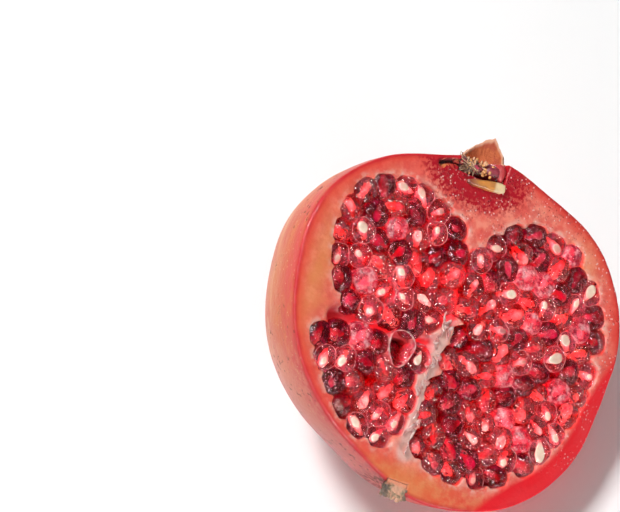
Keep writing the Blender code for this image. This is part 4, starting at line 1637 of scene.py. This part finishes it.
def add_camera():
    """The photograph's camera: the face's centre falls on its pixel, at the photograph's scale."""
    focal_pixels = LENS / SENSOR * IMAGE_SIZE[0]
    distance = focal_pixels / PIXELS_PER_MM * MM
    to_table = placement()
    turn = to_table.to_3x3() @ face_in_view().transposed()
    across = (FACE_PIXEL[0] - IMAGE_SIZE[0] / 2) / focal_pixels * distance
    up = (IMAGE_SIZE[1] / 2 - FACE_PIXEL[1]) / focal_pixels * distance
    place = to_table.translation - turn @ Vector((across, up, -distance))
    lens = bpy.data.cameras.new("camera")
    lens.lens = LENS
    lens.sensor_width = SENSOR
    lens.clip_start = 0.01
    lens.clip_end = 20.0
    camera = bpy.data.objects.new("camera", lens)
    bpy.context.scene.collection.objects.link(camera)
    camera.matrix_world = Matrix.Translation(place) @ turn.to_4x4()
    bpy.context.scene.camera = camera
    return camera


class POMEGRANATE_OT_stage(bpy.types.Operator):
    """Sets the pale floor, the soft lights and the camera"""

    bl_idname = "pomegranate.stage"
    bl_label = "Stage"

    def execute(self, context):
        scene = context.scene
        light = scene.pomegranate_sizes.light
        scene.view_settings.view_transform = "Standard"
        floor = Nodes("floor")
        floor.set(Base_Color=(0.93, 0.93, 0.93, 1.0), Roughness=0.7)
        mesh = bpy.data.meshes.new("floor")
        corners = [(x * FLOOR_HALF, y * FLOOR_HALF, 0) for x, y in ((-1, -1), (1, -1), (1, 1), (-1, 1))]
        mesh.from_pydata(corners, [], [(0, 1, 2, 3)])
        mesh.materials.append(floor.material)
        plane = bpy.data.objects.new("floor", mesh)
        scene.collection.objects.link(plane)
        plane.location.z = -FLOOR_DROP
        world = scene.world or bpy.data.worlds.new("world")
        scene.world = world
        world.use_nodes = True
        sky = world.node_tree.nodes["Background"]
        sky.inputs["Color"].default_value = (1.0, 1.0, 1.0, 1.0)
        sky.inputs["Strength"].default_value = SKY_STRENGTH * light
        turn = add_camera().matrix_world.to_3x3()
        centre = placement().translation
        for name, (way, far, size, power) in LAMPS.items():
            place = centre + turn @ Vector(way).normalized() * far
            add_area(name, place, centre, size, power * light)
        glint = GLINT_POWER * scene.pomegranate_sizes.glints * light
        for number, azimuth in enumerate(GLINT_AZIMUTHS_DEG):
            turned = math.radians(azimuth)
            way = Vector((math.cos(turned) * GLINT_SPREAD, math.sin(turned) * GLINT_SPREAD, GLINT_FORWARD))
            lamp = add_area(f"glint_{number}", centre + turn @ way, centre, GLINT_SIZE, glint)
            lamp.visible_diffuse = False
            lamp.visible_transmission = False
        return {"FINISHED"}


def colour(name, description, value):
    return bpy.props.FloatVectorProperty(
        name=name, description=description, default=value, size=3, min=0.0, max=1.0, subtype="COLOR"
    )


class PomegranateLooks(bpy.types.PropertyGroup):
    """Colours of the fruit's tissues"""

    skin_red: colour("Skin", "Ripe outer skin", (0.50, 0.018, 0.022))
    skin_gold: colour("Skin by the crown", "Yellow-orange skin round the crown", (0.76, 0.34, 0.10))
    rim_red: colour("Cut edge", "Skin seen on the cut, all round the rim", (0.60, 0.010, 0.020))
    pith_salmon: colour("Pith", "Salmon flesh of the rind", (0.85, 0.135, 0.10))
    pith_pale: colour("Pale pith", "Paler clouds in the pith", (0.92, 0.28, 0.20))
    gel_red: colour("Aril", "Colour that light takes in an aril's flesh", (0.95, 0.0, 0.12))
    seed_cream: colour("Seed", "Bare seed", (0.92, 0.80, 0.62))
    seed_red: colour("Red seed", "Seed soaked in juice", (0.30, 0.003, 0.024))
    crown_russet: colour("Sepals", "Inner side of the dried sepals", (0.40, 0.070, 0.018))
    stamen_tan: colour("Stamens", "Dried filaments", (0.48, 0.25, 0.11))
    style_ochre: colour("Style", "Side of the cut style", (0.76, 0.29, 0.04))
    stem_brown: colour("Stem", "Bark of the stalk", (0.12, 0.08, 0.035))


class PomegranateSizes(bpy.types.PropertyGroup):
    """Amounts of the fruit's small parts and of the stage's light"""

    flaps: bpy.props.IntProperty(
        name="Flaps", description="Torn flaps of membrane along the septum", default=26, min=1
    )
    filaments: bpy.props.IntProperty(
        name="Filaments", description="Dried filaments in the crown's cup", default=110, min=1
    )
    light: bpy.props.FloatProperty(
        name="Light", description="Strength of all the lights", default=1.0, min=0.0, subtype="FACTOR"
    )
    glints: bpy.props.FloatProperty(
        name="Glints", description="Strength of the glints on wet flesh", default=1.0, min=0.0,
        subtype="FACTOR",
    )


OPERATORS = (
    POMEGRANATE_OT_rind,
    POMEGRANATE_OT_arils,
    POMEGRANATE_OT_membranes,
    POMEGRANATE_OT_crown,
    POMEGRANATE_OT_stamens,
    POMEGRANATE_OT_style,
    POMEGRANATE_OT_stem,
    POMEGRANATE_OT_stage,
)


class POMEGRANATE_PT_panel(bpy.types.Panel):
    """Lists the amounts, the colours and the pieces in the sidebar"""

    bl_idname = "POMEGRANATE_PT_panel"
    bl_label = "Pomegranate Half"
    bl_space_type = "VIEW_3D"
    bl_region_type = "UI"
    bl_category = "Pomegranate"

    def draw(self, context):
        for group in (context.scene.pomegranate_sizes, context.scene.pomegranate_looks):
            box = self.layout.box()
            for name in group.__annotations__:
                box.prop(group, name)
        for operator in OPERATORS:
            self.layout.operator(operator.bl_idname)


CLASSES = (PomegranateLooks, PomegranateSizes, *OPERATORS, POMEGRANATE_PT_panel)


def register():
    for item in CLASSES:
        bpy.utils.register_class(item)
    bpy.types.Scene.pomegranate_looks = bpy.props.PointerProperty(type=PomegranateLooks)
    bpy.types.Scene.pomegranate_sizes = bpy.props.PointerProperty(type=PomegranateSizes)


def unregister():
    del bpy.types.Scene.pomegranate_sizes
    del bpy.types.Scene.pomegranate_looks
    for item in reversed(CLASSES):
        bpy.utils.unregister_class(item)


def main():
    register()
    bpy.ops.pomegranate.rind()
    bpy.ops.pomegranate.arils()
    bpy.ops.pomegranate.membranes()
    bpy.ops.pomegranate.crown()
    bpy.ops.pomegranate.stamens()
    bpy.ops.pomegranate.style()
    bpy.ops.pomegranate.stem()
    bpy.ops.pomegranate.stage()


if __name__ == "__main__":
    main()
